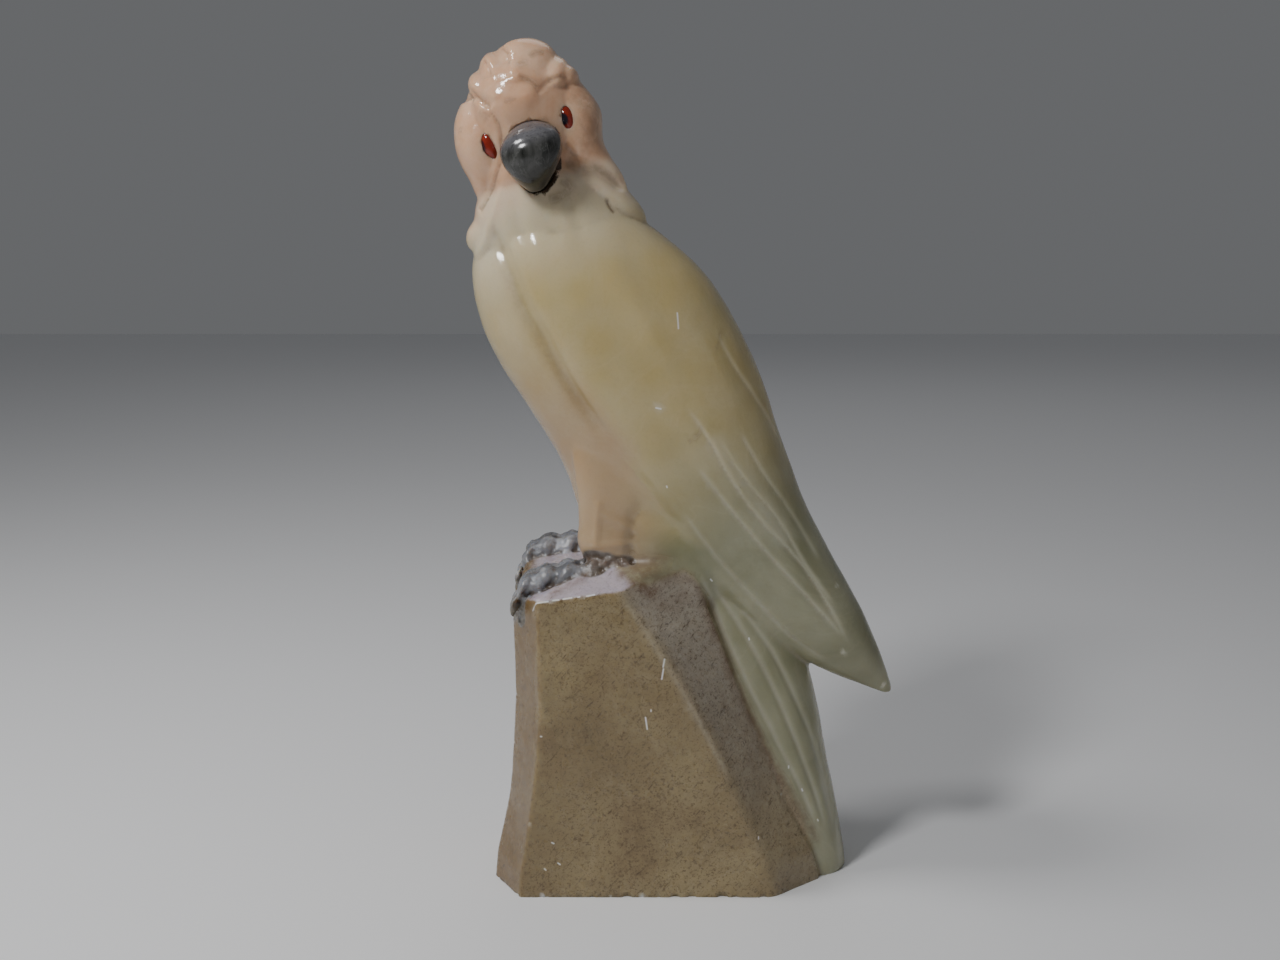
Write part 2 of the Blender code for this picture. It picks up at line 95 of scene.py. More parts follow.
def block(x, z, y=0.0):
    return Vector((x / 100 * PLINTH_WIDTH, y * PLINTH_DEPTH / 2, z / 100 * PLINTH_HEIGHT))


def head_frame():
    """The turned head's own frame: +X to the bird's left, -Y out of the face, +Z to the crest."""
    place = Matrix.Translation(body(HEAD_CENTRE[0], HEAD_CENTRE[2], HEAD_CENTRE[1]))
    return place @ Matrix.Rotation(HEAD_ROLL, 4, "Y") @ Matrix.Scale(UNIT, 4)


HEAD = head_frame()
HEAD_INVERSE = HEAD.inverted()
HEAD_SIDE = (HEAD.to_3x3() @ Vector((1.0, 0.0, 0.0))).normalized()


def in_head(x, y, z):
    return HEAD @ Vector((x, y, z))


def clamp(value, low=0.0, high=1.0):
    return max(low, min(high, value))


def ease(low, high, value):
    """0 before low and 1 after high, with soft ends, for one value or an array of them."""
    share = np.clip((np.asarray(value, float) - low) / (high - low), 0, 1)
    return share * share * (3 - 2 * share)


def signed_power(value, power):
    return math.copysign(abs(value) ** power, value)


def curve_through(rows, share):
    """The smooth curve through rows of numbers, at a share of its length."""
    place = clamp(share) * (len(rows) - 1)
    step = min(int(place), len(rows) - 2)
    t = place - step
    before, start = rows[max(step - 1, 0)], rows[step]
    end, after = rows[step + 1], rows[min(step + 2, len(rows) - 1)]
    result = []
    for a, b, c, d in zip(before, start, end, after):
        bend = (c - a) * t + (2 * a - 5 * b + 4 * c - d) * t * t + (3 * b - a - 3 * c + d) * t ** 3
        result.append(b + bend / 2)
    return result


# The forms of the carving

def swept_form(bm, stations, side=SIDEWAYS, sides=64, rings=80, front=2.0, back=2.0, blunt=4.0):
    """A sphere drawn out along a row of sections: two opposite edge points and a half width each.

    front and back are the exponents of the section's two halves: 2 is an ellipse, 4 is boxy.
    """
    rows = [tuple(near) + tuple(far) + (width,) for near, far, width in stations]
    form = bmesh.new()
    bmesh.ops.create_uvsphere(form, u_segments=sides, v_segments=rings, radius=1.0)
    for vert in form.verts:
        turn = math.atan2(vert.co.y, vert.co.x)
        share = (1 - clamp(vert.co.z, -1.0, 1.0)) / 2
        fill = (1 - abs(2 * share - 1) ** blunt) ** (1 / blunt)
        row = curve_through(rows, share)
        near, far, width = Vector(row[0:3]), Vector(row[3:6]), row[6]
        power = 2 / (back if math.cos(turn) > 0 else front)
        along = signed_power(math.cos(turn), power) * fill / 2
        across = signed_power(math.sin(turn), power) * fill
        vert.co = (near + far) / 2 + (far - near) * along + side * width * across
    pour(form, bm)


def as_mesh(form, name):
    mesh = bpy.data.meshes.new(name)
    form.to_mesh(mesh)
    form.free()
    return mesh


def in_scene(name, data):
    thing = bpy.data.objects.new(name, data)
    bpy.context.scene.collection.objects.link(thing)
    return thing


def pour(form, bm):
    """Add one form to the others, which is far quicker than making it among them."""
    mesh = as_mesh(form, "form")
    bm.from_mesh(mesh)
    bpy.data.meshes.remove(mesh)


def round_form(bm, centre, radii):
    """An ellipsoid of the head, in the head's own frame."""
    place = HEAD @ Matrix.Translation(Vector(centre)) @ Matrix.Diagonal((*radii, 1.0))
    form = bmesh.new()
    bmesh.ops.create_uvsphere(form, u_segments=64, v_segments=48, radius=1.0, matrix=place)
    pour(form, bm)


def figure_sections(rows, y=0.0):
    """Sections seen from the side: front edge, back edge (x and height each) and half width."""
    return [(body(a, b, y), body(c, d, y), width * UNIT) for a, b, c, d, width in rows]


def add_torso(bm):
    rows = [(-49, 108, -16, 112, 15), (-55.5, 94, -6, 95, 20.5), (-56.6, 81, 6, 78, 23.5),
            (-53.8, 68, 14, 64, 24.5), (-48.3, 56, 20, 50, 24), (-40.8, 44, 26, 36, 22.5),
            (-33.4, 32, 31, 22, 20.5), (-28.2, 21, 34, 8, 18.5), (-24.5, 11, 34, -6, 16.5),
            (-14, 1, 32, -18, 14.5), (0, -8, 30, -28, 13)]
    swept_form(bm, figure_sections(rows), front=2.15, back=2.4, blunt=5)


def add_wings(bm):
    """The folded wings as one mantle: boxy along its leading edge, round over the back."""
    rows = [(-47, 101, -14, 106, 19), (-48, 92, 0.6, 94.7, 23.5), (-43, 77, 14.5, 80.8, 26.5),
            (-35.5, 62, 25, 62.8, 27.5), (-27, 47, 31.5, 47, 27), (-17, 34, 36.6, 32, 25.8),
            (-7, 21, 43, 15, 23.5), (3, 6, 50.1, 1.5, 21), (14, -10, 57.3, -11.5, 18.5),
            (28.5, -25.2, 63.7, -23.5, 15.5), (46, -36, 68.4, -34, 10.5),
            (60, -42.6, 71.2, -41.5, 5.5), (68.5, -46.4, 72.3, -46.2, 2.6)]
    swept_form(bm, figure_sections(rows), front=4.2, back=2.3, blunt=6, rings=110)


def add_tail(bm):
    """The tail, from under the wings down the block's slanting side to the table."""
    upper = [(-8, 22, 34, 30, 12.5), (-4, 0, 40, -4, 14), (2, -14, 42, -20, 15.5),
             (7, -29, 46.0, -38, 16.6)]
    lower = [(14, 52.4, 49.4, 46, 17.0), (22, 30, 53.0, 28, 17.0), (31, 14, 56.0, 13, 16.6),
             (36, 3, 57.9, 2, 16.2), (38, -8, 58.2, -8, 16)]
    stations = figure_sections(upper)
    stations += [(block(a, b), block(c, d), width * UNIT) for a, b, c, d, width in lower]
    swept_form(bm, stations, front=4, back=2.3, blunt=8)


def add_legs(bm):
    """Two boot-like legs, with the belly between and behind them coming down to the block."""
    rows = [(-29, 38, 4, 36, 7.5), (-26.6, 27, 0, 25, 8.4), (-25.2, 17, -4, 16, 8.6),
            (-24.8, 9, -5.6, 8, 8.4), (-25.2, 3, -5, 2, 9), (-22.5, -5, -7, -6, 8)]
    for y in (-LEG_SPREAD, LEG_SPREAD):
        swept_form(bm, figure_sections(rows, y), front=3, back=3, blunt=5)
    rows = [(-26, 28, 28, 18, 17), (-21, 14, 24, 6, 18.8), (-18, 3, 20, -4, 20.2),
            (-13, -5, 18, -12, 21.4), (-8, -10, 16, -16, 20.5)]
    swept_form(bm, figure_sections(rows), front=2.5, back=3, blunt=4)


def toe_strands():
    """The toes' middle lines, their radii and their numbers of knuckles; the near foot lies lower."""
    near = [body(-19, -2.6), block(-27, 94.6), block(-34, 93.5), block(-40, 91.6), block(-43.8, 88.4),
            block(-43.6, 82.5)]
    far = [body(-19, -1.0), block(-27, 97), block(-35, 96.6), block(-41.4, 94.6), block(-44.9, 89.7),
           block(-43.8, 82.4)]
    strands = []
    for hand, middle, radius in ((-1, near, 4.0), (1, far, 4.4)):
        for spread in TOE_SPREADS:
            points = [Vector((point.x, hand * spread * UNIT, point.z)) for point in middle]
            strands.append((points, radius * UNIT, TOE_KNUCKLES))
        points = [body(-18.5, -1.6), block(-12, 97.8), block(-7.5, 95.6)]
        for point in points:
            point.y = hand * CLAW_SPREAD * UNIT
        strands.append((points, 2.5 * UNIT, CLAW_KNUCKLES))
    return strands


def toe_size(radius, knuckles, share):
    """A toe's radius at a share of its length: thicker at each knuckle, thinner towards the claw."""
    return radius * (1 + 0.18 * math.sin(share * knuckles * 2 * math.pi)) * (1 - 0.2 * share)


def add_feet(bm):
    """Toes as rounded strands, swelling at each knuckle, and the stone left between the feet."""
    for points, radius, knuckles in toe_strands():
        count = 4 * len(points)
        stations = []
        for index in range(count + 1):
            share = index / count
            middle = Vector(curve_through([tuple(point) for point in points], share))
            size = toe_size(radius, knuckles, share)
            rise = Vector((0.35, 0.0, 0.94)) * size
            stations.append((middle - rise, middle + rise, size))
        swept_form(bm, stations, blunt=3, sides=32, rings=64)
    rows = [(-38.2, -5.2, -14, -1.6, 8.5), (-42.4, -7.6, -13, -7, 11), (-43, -16, -12, -16, 12)]
    swept_form(bm, figure_sections(rows), front=4, back=4, blunt=6)


def add_neck(bm):
    rows = [(-50, 116, -25, 120, 13), (-53, 107, -15, 111, 16), (-55, 100, -9, 101, 19),
            (-55.8, 90, 1, 92, 21.5), (-54, 78, 8, 82, 22)]
    turned = (-4.0, -3.5, -2.0, 0.0, 0.0)
    stations = [figure_sections([row], y)[0] for row, y in zip(rows, turned)]
    swept_form(bm, stations, front=2.2, back=2.2, blunt=4)
    lobe = [(-48, 111, -34, 108, 8), (-53.0, 101, -34, 99, 9.5), (-57.4, 94.2, -36, 92, 9.5),
            (-57.6, 88.6, -42, 87, 6)]
    swept_form(bm, figure_sections(lobe, -4), blunt=4)


def add_lappet(bm, rows, hand):
    """A lobe of feathers beside the face, in the head's frame, from its root to its tip."""
    stations = []
    for outer, inner, low, middle, depth in rows:
        near = in_head(hand * outer, middle, low)
        far = in_head(hand * inner, middle, low)
        stations.append((near, far, depth * UNIT))
    swept_form(bm, stations, front=2.2, back=2.0, blunt=4)


def add_crest_feather(bm, x, top, half_width):
    """One feather of the crest, from the forehead over the crown to the nape."""
    stations = []
    for degrees in (-62, -35, -10, 15, 45, 75, 100, 122):
        angle = math.radians(degrees)
        swing = Vector((0.0, math.sin(angle), math.cos(angle)))
        outer = Vector((x, 2 + 19.5 * swing.y, 2 + (top - 2) * swing.z))
        inner = Vector((x * 0.5, 2 + 4 * swing.y, 2 + 4 * swing.z))
        width = half_width * (0.75 + 0.25 * swing.z)
        stations.append((HEAD @ outer, HEAD @ inner, width * UNIT))
    swept_form(bm, stations, side=HEAD_SIDE, front=2.0, back=2.6, blunt=4)


def add_head(bm):
    """Skull, crown, brow and chin, then the crest's feathers, the cheeks and the ruff."""
    round_form(bm, (0, 2, 2), (17.8, 18.5, 19))
    round_form(bm, (0, 2.5, 6), (16.8, 17.5, 16.5))
    round_form(bm, (-1, -5.5, 6), (13, 11.5, 13.5))
    round_form(bm, (-2, -3.5, -11), (15.5, 11, 13))
    feathers = ((3.4, 25.5, 11.2), (-4.9, 24.0, 6.0), (-10.2, 20.0, 5.4), (11.2, 18.0, 7.0))
    for x, top, half_width in feathers:
        add_crest_feather(bm, x, top, half_width)
    round_form(bm, (14.2, -1.0, 10.5), (3.6, 8.0, 4.0))
    left_cheek = [(17.4, 2, 13.5, 3, 11), (19.8, 2, 5.5, 1, 12), (21.2, 3, -1, 0, 12.5),
                  (19.5, 6, -8.5, -1, 11), (20.3, 10, -14, -2, 8), (22.3, 16, -19.5, -3, 5),
                  (23.0, 20.4, -25.5, -3, 2.5)]
    add_lappet(bm, left_cheek, 1)
    right_cheek = [(16.8, 4, 15.6, 4, 7), (20.4, 3, 8.5, 1, 10), (22.0, 4, 1.5, 0, 11.5),
                   (21.8, 6.5, -4.5, -1, 10.5), (20.6, 9.5, -9.5, -2, 8), (20.2, 14, -14, -2.5, 5),
                   (19.9, 18, -17.8, -3, 2.5)]
    add_lappet(bm, right_cheek, -1)
    for hand, lift, swell in ((1, 0, 0), (-1, 3.0, 0.8)):
        ruff = [(14, 4, -10, 1, 14), (18.9, 6, -18, 1, 14), (22.8 + swell, 10, -25, 1, 12),
                (25.4 + swell, 16, -31 + lift / 2, 1, 9), (25.6 + swell, 22.5, -35.5 + lift, 1, 4.5)]
        add_lappet(bm, ruff, hand)


CORNER_LEVELS = (0, 25, 50, 75, 100)
CORNER_ROWS = {
    "right front": [(49.5, -0.56), (37.0, -0.56), (27.0, -0.56), (17.5, -0.56), (9.0, -0.56)],
    "right back": [(50.0, 0.50), (37.0, 0.52), (27.0, 0.55), (17.5, 0.55), (9.0, 0.55)],
    "back right": [(30.0, 0.97), (22.0, 0.95), (12.0, 0.92), (-1.0, 0.90), (-12, 0.88)],
    "back left": [(-41.0, 0.98), (-38.5, 0.95), (-36.5, 0.92), (-36.0, 0.90), (-36.5, 0.88)],
    "left back": [(-49.5, 0.45), (-46.8, 0.42), (-45.2, 0.40), (-44.6, 0.40), (-45.2, 0.40)],
    "left front": [(-51.2, -0.50), (-46.5, -0.38), (-44.4, -0.38), (-44.4, -0.38), (-45.4, -0.38)],
    "front left": [(-42.5, -0.97), (-38.8, -0.94), (-35.9, -0.92), (-36.0, -0.90), (-37.0, -0.88)],
    "front ridge": [(34.0, -0.97), (24.0, -0.955), (13.2, -0.94), (-0.5, -0.91), (-18, -0.88)],
}


def corner_across(which):
    """How far across a corner is at each of its levels, which are evenly spaced up the block."""
    return [x for x, _ in CORNER_ROWS[which]]


def plinth_corner(which, z):
    """A corner of the block's eight-sided outline at a height in hundredths."""
    x, y = curve_through(CORNER_ROWS[which], z / 100)
    return block(x, z, y)


def add_plinth(bm):
    """The block: an eight-sided prism, its corners moved level by level, its top cut by planes."""
    prism = bmesh.new()
    corners = list(CORNER_ROWS)
    bmesh.ops.create_cone(prism, cap_ends=True, segments=len(corners), radius1=1, radius2=1, depth=2)
    for level in range(8, 96, 8):
        height = level / 50 - 1
        everything = prism.verts[:] + prism.edges[:] + prism.faces[:]
        bmesh.ops.bisect_plane(prism, geom=everything, plane_co=(0, 0, height), plane_no=(0, 0, 1))
    for vert in prism.verts:
        turn = math.atan2(vert.co.y, vert.co.x) / (2 * math.pi) * len(corners)
        z = (vert.co.z + 1) * 50
        vert.co = plinth_corner(corners[round(turn) % len(corners)], z)
        if z < 1:
            vert.co.z = BELOW_TABLE
        elif z > 99:
            vert.co.z = PLINTH_HEIGHT * 1.1
    cuts = [
        (block(-36.8, 88.4, -0.90), block(-15.7, 91.4, -0.90), block(-17.0, 98.4, -0.62)),
        (block(-17.0, 98.4, -0.62), block(-44, 86.5, -0.6), block(-17.0, 98.4, 0.6)),
        (block(-15.7, 91.4, 0.90), block(-36.8, 88.4, 0.90), block(-17.0, 98.4, 0.62)),
        (block(-17.0, 98.6, -0.62), block(10, 97.4, 0.6), block(10, 97.4, -0.6)),
    ]
    for a, b, c in cuts:
        normal = (b - a).cross(c - a).normalized()
        if normal.z < 0:
            normal.negate()
        everything = prism.verts[:] + prism.edges[:] + prism.faces[:]
        cut = bmesh.ops.bisect_plane(prism, geom=everything, plane_co=a, plane_no=normal,
                                     clear_outer=True)
        edges = [item for item in cut["geom_cut"] if isinstance(item, bmesh.types.BMEdge)]
        bmesh.ops.holes_fill(prism, edges=edges)
    pour(prism, bm)


# Carving the surface

# Lines cut into the figure: points across and up, then the depth and the width of the cut where it
# varies. Those of the body are in parts of the figure, those of the tail and block in hundredths of
# the block, and those of the head in its own frame. A cut of negative depth is a ridge.

WING_EDGE = [(-49.5, 97), (-46.2, 89.5), (-40.2, 74.7), (-33.8, 63.7), (-27.6, 52.0),
             (-18.0, 38.2), (-12.0, 30.5)]
WING_ROOT = [(-29, 38), (-15, 34), (-3, 21), (7, 8), (16, -6)]
SHOULDER_RIDGE = [(-22, 92), (-16.2, 86.2), (-13.0, 81.8), (-9.2, 76.7), (-6.0, 71.0), (-0.9, 63.4),
                  (3.0, 55.7), (6, 46)]
FEATHER_EDGES = [
    ([(7, 45), (12.3, 37.2), (18.9, 25.3), (28.3, 11.9), (39.0, 0.5), (47.2, -11.1), (56.9, -28.9)],
     0.55, 5.5),
    ([(10, 28), (15.1, 21.0), (25.9, 7.5), (34.0, -2.0), (44.9, -14.3), (54.5, -25.3)], 0.5, 5.0),
    ([(15, 38), (23.0, 25.0), (33.8, 11.6), (42.0, -2.0), (51.6, -15.7)], 0.4, 4.0),
    ([(15.5, 66), (20.0, 57.5), (26.3, 48.2), (33.2, 37.0), (39.5, 24.0), (44, 12)], 0.5, 4.5),
    ([(6, 14), (16, 0.5), (27, -12), (38, -24), (50, -33)], 0.4, 4.5),
    ([(22, 38), (29, 26), (38, 13), (47, -2)], 0.3, 3.5),
]
BELLY_FOOT = [(-3, -3), (4, -4), (13, -9)]
LOW_RIDGE = [(13, 52), (24, 26), (35, 0)]
TAIL_LINES = [
    ([(10.5, 96.5), (14.5, 87.4), (19.1, 75.6), (26.2, 60.2), (33.3, 46.2), (41.6, 29.5), (47.7, 15)],
     0.45, 1.0),
    ([(14.4, 92.0), (24.8, 76.0), (33.1, 60.2), (40.3, 43.4), (46.4, 27.6), (50.5, 14)], 0.45, 1.0),
    ([(23.6, 83.9), (32.9, 70.9), (40.0, 56.6), (46.1, 42.2), (50.4, 27.6), (53, 14)], 0.4, 1.0),
]
CREST_STEPS = [
    ([(-2.0, 26.0), (-1.0, 23.8), (0.6, 21.0), (0.2, 17.1), (-0.3, 13.4), (-1.4, 8.0)], 0.75, 5.0),
    ([(-7.6, 22.6), (-6.3, 20.6), (-5.6, 17.7), (-5.7, 14.0), (-6.3, 9.0)], 0.6, 4.5),
]
CREST_CREASES = [
    ([(5.0, 7.4), (6.5, 8.1), (9.2, 10.0), (11.6, 10.5), (13.8, 10.4), (15.6, 9.7)], 0.4, 0.8),
    ([(1.4, 13.3), (3.6, 12.1), (5.2, 10.6), (6.0, 8.5)], 0.15, 0.6),
    ([(1.2, 25.5), (1.9, 21.8), (1.3, 18.5), (0.8, 15.8), (0.2, 11.4)], -0.7, 3.2),
    ([(-5.9, 16.0), (-6.0, 12.6), (-5.8, 8.8)], -0.35, 2.0),
]
LAPPET_LEDGE = [(-8.6, 6.6), (-9.5, 8.3), (-11.2, 10.3), (-13.0, 12.2), (-15.1, 13.4), (-17.5, 14.2)]
LAPPET_NOTCH = [(-13.5, 13.0), (-17.0, 14.3), (-22.5, 16.0)]
LAPPET_EDGE = [(-20.6, -17.8), (-18.6, -17.1), (-14.4, -13.1), (-9.7, -6.4), (-8.2, -2.0), (-7.7, 2.2),
               (-8.4, 5.6), (-9.6, 8.0)]
CHEEK_EDGE = [(6.4, -8.0), (7.1, -9.6), (8.4, -12.3), (10.7, -14.4), (14.2, -16.6), (17.6, -19.0),
              (20.3, -21.8), (22.3, -24.4)]
LEG_EDGES = [
    ([(-19.8, 1.8), (-19.5, 8.0), (-19.2, 12.8), (-18.6, 18)], -0.55, 1.2),
    ([(-7.0, 4.9), (-10.0, 4.4), (-16.4, 3.8), (-21.4, 3.3)], -0.35, 1.0),
    ([(-18.6, 13.6), (-14.5, 11.6), (-10.0, 9.4), (-7, 7.5)], -0.35, 1.1),
    ([(-9.6, 16), (-9.0, 9.4), (-9.3, 4.4), (-9.6, 0.5)], 0.5, 1.6),
]
RUFF_CRACK = [(15.8, -25.1), (16.0, -27.5), (16.9, -29.8)]
THROAT_FLUTES = ((-10.0, 2.2), (-1.0, 3.0), (6.0, 2.2))

# Stains with painted shade among them, pale lines, scratched marks and painted glints: their lines, how
# strong each is, and the width of the mark

# The fourth, the eleventh and the last are painted shade: the shaded cheek on the bird's left, the shadow
# along that cheek's lower edge and the shadow between the lappet and the forehead on the bird's right.
HEAD_STAINS_AND_SHADE = [
    ([(1.4, 13.3), (3.6, 12.1), (5.2, 10.6), (6.0, 8.5)], 0.75, 0.9),
    ([(6.1, 18.2), (8.1, 19.0), (10.3, 18.5)], 0.55, 1.0),
    ([(8.9, 10.4), (11.3, 10.5), (13.3, 10.3)], 0.6, 0.8),
    ([(15.0, 6.0), (17.5, 0.0), (16.5, -6.0), (12.0, -11.0)], 0.4, 5.0),
    ([(2.2, 16.3), (3.9, 16.9), (5.3, 16.8)], 0.5, 0.9),
    ([(-3.6, 7.6), (-1.6, 7.3)], 0.6, 0.8),
    ([(5.1, 1.0), (5.4, -1.9), (6.2, -5.0)], 0.7, 0.8),
    ([(5.0, -16.4), (6.9, -19.9), (3.6, -21.2), (0.0, -21.3)], 0.6, 1.5),
    ([(15.8, -25.1), (16.0, -27.5), (16.9, -29.8)], 0.8, 0.5),
    ([(19.6, 0.4), (18.6, -2.0), (18.7, -4.8)], 0.5, 0.8),
    ([(8.0, -10.8), (10.7, -13.6), (14.2, -15.8), (17.6, -18.2), (20.3, -21)], 0.35, 1.8),
    ([(-19.0, 5.0), (-18.4, 4.4)], 0.6, 0.8),
    ([(-11.0, 8.0), (-9.4, 4.6)], 0.4, 1.6),
]
# The first and the third are painted shade: the shadow beside the wing's leading edge and the shadow beside
# the rear toes; the fourth, where the belly meets the block, is partly a dark crack and partly painted
# shade.
BODY_STAINS_AND_SHADE = [
    ([(-46, 87), (-40, 73), (-33.6, 62), (-27.4, 50.5), (-18.0, 37.0)], 0.22, 2.4),
    ([(-24.5, 0.3), (-18, -1.2), (-12, -1.2), (-6, -3)], 0.6, 1.0),
    ([(-13.5, -3.2), (-8, -5.6), (-3.0, -8.6), (0, -10)], 1.0, 1.7),
    ([(-13.0, -1.0), (-6.0, -3.0), (1.0, -4.5), (8.0, -6.0)], 0.5, 2.2),
    ([(7.0, 35.2), (8.9, 36.2), (10.6, 38.2), (11.0, 40.1)], 0.5, 0.5),
    ([(14.7, 60.6), (16.2, 63.8), (16.7, 67.1)], 0.35, 0.5),
    ([(-6.2, 91.4), (-5.8, 91.0)], 0.8, 0.6),
]
# The first and the third are painted shade: the shadow in the groove between the tail and the block, and
# the shadow under the near toes.
BLOCK_STAINS_AND_SHADE = [
    ([(7.0, 98), (12.2, 88.5), (16.8, 75.6), (25.1, 55.4), (33.4, 37.4), (44.2, 17.8), (47.8, 10)],
     0.75, 1.5),
    ([(-37.0, 83.5), (-35.0, 80.5)], 0.7, 1.0),
    ([(-33.5, 90.2), (-27.5, 93.0), (-21.0, 96.4)], 0.9, 0.9),
    ([(-36.5, 77.0), (-33.5, 74.5)], 0.6, 0.8),
    ([(-8.3, 30.3), (-9.5, 18.0), (-8.3, 5.0)], 0.35, 7.0),
    ([(-24.0, 76.0), (-19.4, 67.7), (-15, 60)], 0.2, 5.0),
    ([(-36.0, 52.6), (-33, 44), (-34, 36)], 0.25, 3.0),
    ([(9.8, 27.9), (2, 22), (-2, 30)], 0.3, 4.5),
    ([(-4.9, 89.7), (3.0, 87.4), (8.7, 91.2)], 0.4, 3.0),
]
BLOCK_PALE = [
    ([(-11.6, 90.1), (-3.8, 78.6), (8.5, 57.8), (20.0, 35.5)], 0.25, 0.7),
]
# The first is a painted glint on the wing; the next three are pale chips near the wing tip, and the last a
# pale line along a feather edge.
BODY_PALE = [
    ([(-1.9, 45.1), (-0.4, 44.8)], 0.9, 0.5),
    ([(54.2, -30.6), (55.4, -29.6)], 1.0, 0.9),
    ([(67.9, -43.0), (69.2, -43.6)], 1.0, 1.1),
    ([(52.0, -9.9), (52.8, -9.7)], 0.9, 0.5),
    ([(12.3, 37.2), (19.9, 27.3), (29.3, 14.9), (38.0, 3.5)], 0.35, 3.5),
]
# The first eight are painted glints on the wing and tail, drawn as short white strokes; the others are
# white scratched marks, nicks and broken bits of the slanted top's rim, whose white is partly painted
# glint.
SCRATCHES_AND_GLINTS = [
    ((4.0, 171.7), (4.3, 167.4)), ((-2.0, 145.1), (-0.6, 144.8)), ((1.2, 122.0), (1.3, 121.6)),
    ((14.3, 93.4), (14.8, 92.8)), ((26.0, 74.9), (26.1, 74.4)), ((38.4, 35.3), (38.4, 34.7)),
    ((42.6, 27.8), (42.8, 27.2)), ((47.6, 17.9), (47.8, 17.5)),
    ((0.6, 72.3), (0.2, 70.0)), ((0.3, 69.4), (-0.2, 66.4)), ((-4.9, 54.9), (-4.4, 51.4)),
    ((-3.3, 57.2), (-3.3, 56.8)), ((-35.5, 49.1), (-35.2, 49.1)), ((-32.5, 16.9), (-31.9, 16.6)),
    ((-36.2, 88.7), (-33.0, 89.2)), ((-31.6, 89.5), (-29.9, 89.7)), ((-28.6, 89.9), (-26.2, 90.3)),
    ((-24.4, 90.5), (-23.9, 90.6)), ((-21.9, 90.8), (-19.6, 91.2)), ((-36.4, 88.6), (-37.6, 85.9)),
    ((-34.7, 8.8), (-34.3, 8.4)), ((-30.7, 10.6), (-30.1, 10.2)), ((28.5, 18.1), (28.5, 17.5)),
]


def fine_line(points):
    steps = 4 * (len(points) - 1)
    return [curve_through(points, index / steps) for index in range(steps + 1)]


def beside_line(x, z, line, reach):
    """Which places lie near a line, and how far from it, on which side and at what share of it."""
    points = np.array(fine_line(line))
    low, high = points.min(0) - reach, points.max(0) + reach
    near = np.flatnonzero((x > low[0]) & (x < high[0]) & (z > low[1]) & (z < high[1]))
    far = np.full(near.shape, 1e9)
    side = np.ones(near.shape)
    share = np.zeros(near.shape)
    for index, ((ax, az), (bx, bz)) in enumerate(zip(points, points[1:])):
        dx, dz = bx - ax, bz - az
        px, pz = x[near] - ax, z[near] - az
        along = np.clip((px * dx + pz * dz) / (dx * dx + dz * dz), 0, 1)
        ox, oz = px - along * dx, pz - along * dz
        distance = np.hypot(ox, oz)
        closer = distance < far
        far[closer] = distance[closer]
        side[closer] = np.where(dx * oz - dz * ox > 0, -1.0, 1.0)[closer]
        share[closer] = ((index + along) / (len(points) - 1))[closer]
    return near, far, side, share


class Surface:
    """A mesh's vertices, the way each faces, and how far each is to be raised or cut.

    The places are given in three ways: x, y and height in parts of the figure, across and up in
    hundredths of the block, and head_x, head_y and head_z in the head's frame. flank is 1 where the
    mesh faces sideways, and face is 1 where it faces the viewer in front of the head's middle.
    """

    def __init__(self, mesh):
        count = len(mesh.vertices)
        self.co = np.empty(count * 3, np.float32)
        mesh.vertices.foreach_get("co", self.co)
        self.co = self.co.reshape(-1, 3).astype(float)
        self.normal = np.empty(count * 3, np.float32)
        mesh.vertex_normals.foreach_get("vector", self.normal)
        self.normal = self.normal.reshape(-1, 3).astype(float)
        self.lift = np.zeros(count)
        self.x = self.co[:, 0] / UNIT
        self.y = self.co[:, 1] / UNIT
        self.height = (self.co[:, 2] - PLINTH_HEIGHT) / UNIT
        self.across = self.co[:, 0] / PLINTH_WIDTH * 100
        self.up = self.co[:, 2] / PLINTH_HEIGHT * 100
        turned = np.array(HEAD_INVERSE)
        local = self.co @ turned[:3, :3].T + turned[:3, 3]
        self.head_x, self.head_y, self.head_z = local.T
        self.flank = ease(0.12, 0.45, np.abs(self.normal[:, 1]))
        self.face = ease(0.1, 0.4, -self.normal[:, 1]) * ease(0.0, -5.0, self.head_y)

    def groove(self, x, z, line, depth, width, gate, fades=(0.12, 0.88)):
        near, far, _, share = beside_line(x, z, line, 3 * width)
        fade = ease(0.0, fades[0], share) * ease(1.0, fades[1], share)
        self.lift[near] -= depth * fade * gate[near] * np.exp(-((far / width) ** 2))

    def ledge(self, x, z, line, depth, width, gate, fades=(0.25, 0.85)):
        """Cuts one side of a line down sharply, and lets it rise again away from the line."""
        near, far, side, share = beside_line(x, z, line, width)
        fade = ease(0.0, fades[0], share) * ease(1.0, fades[1], share) * gate[near]
        open_side = np.where(side > 0, np.clip(1 - far / width, 0, 1) ** 1.5, 0.0)
        shut_side = np.where(side > 0, 0.0, 0.6 * np.exp(-((far / 0.5) ** 2)))
        self.lift[near] -= depth * fade * (open_side + shut_side)

    def wobble(self, size, amount, gate, seed):
        """Uneven hand polishing: soft swells of a given size."""
        offset = Vector((seed * 7.3, seed * 3.1, seed * 5.7))
        where = np.flatnonzero(gate > 0.01)
        scale = 1.0 / size
        values = [noise.noise(Vector(place) * scale + offset) for place in self.co[where]]
        self.lift[where] += amount / UNIT * np.array(values) * gate[where]

    def moved(self):
        return self.co + self.normal * (self.lift * UNIT)[:, None]


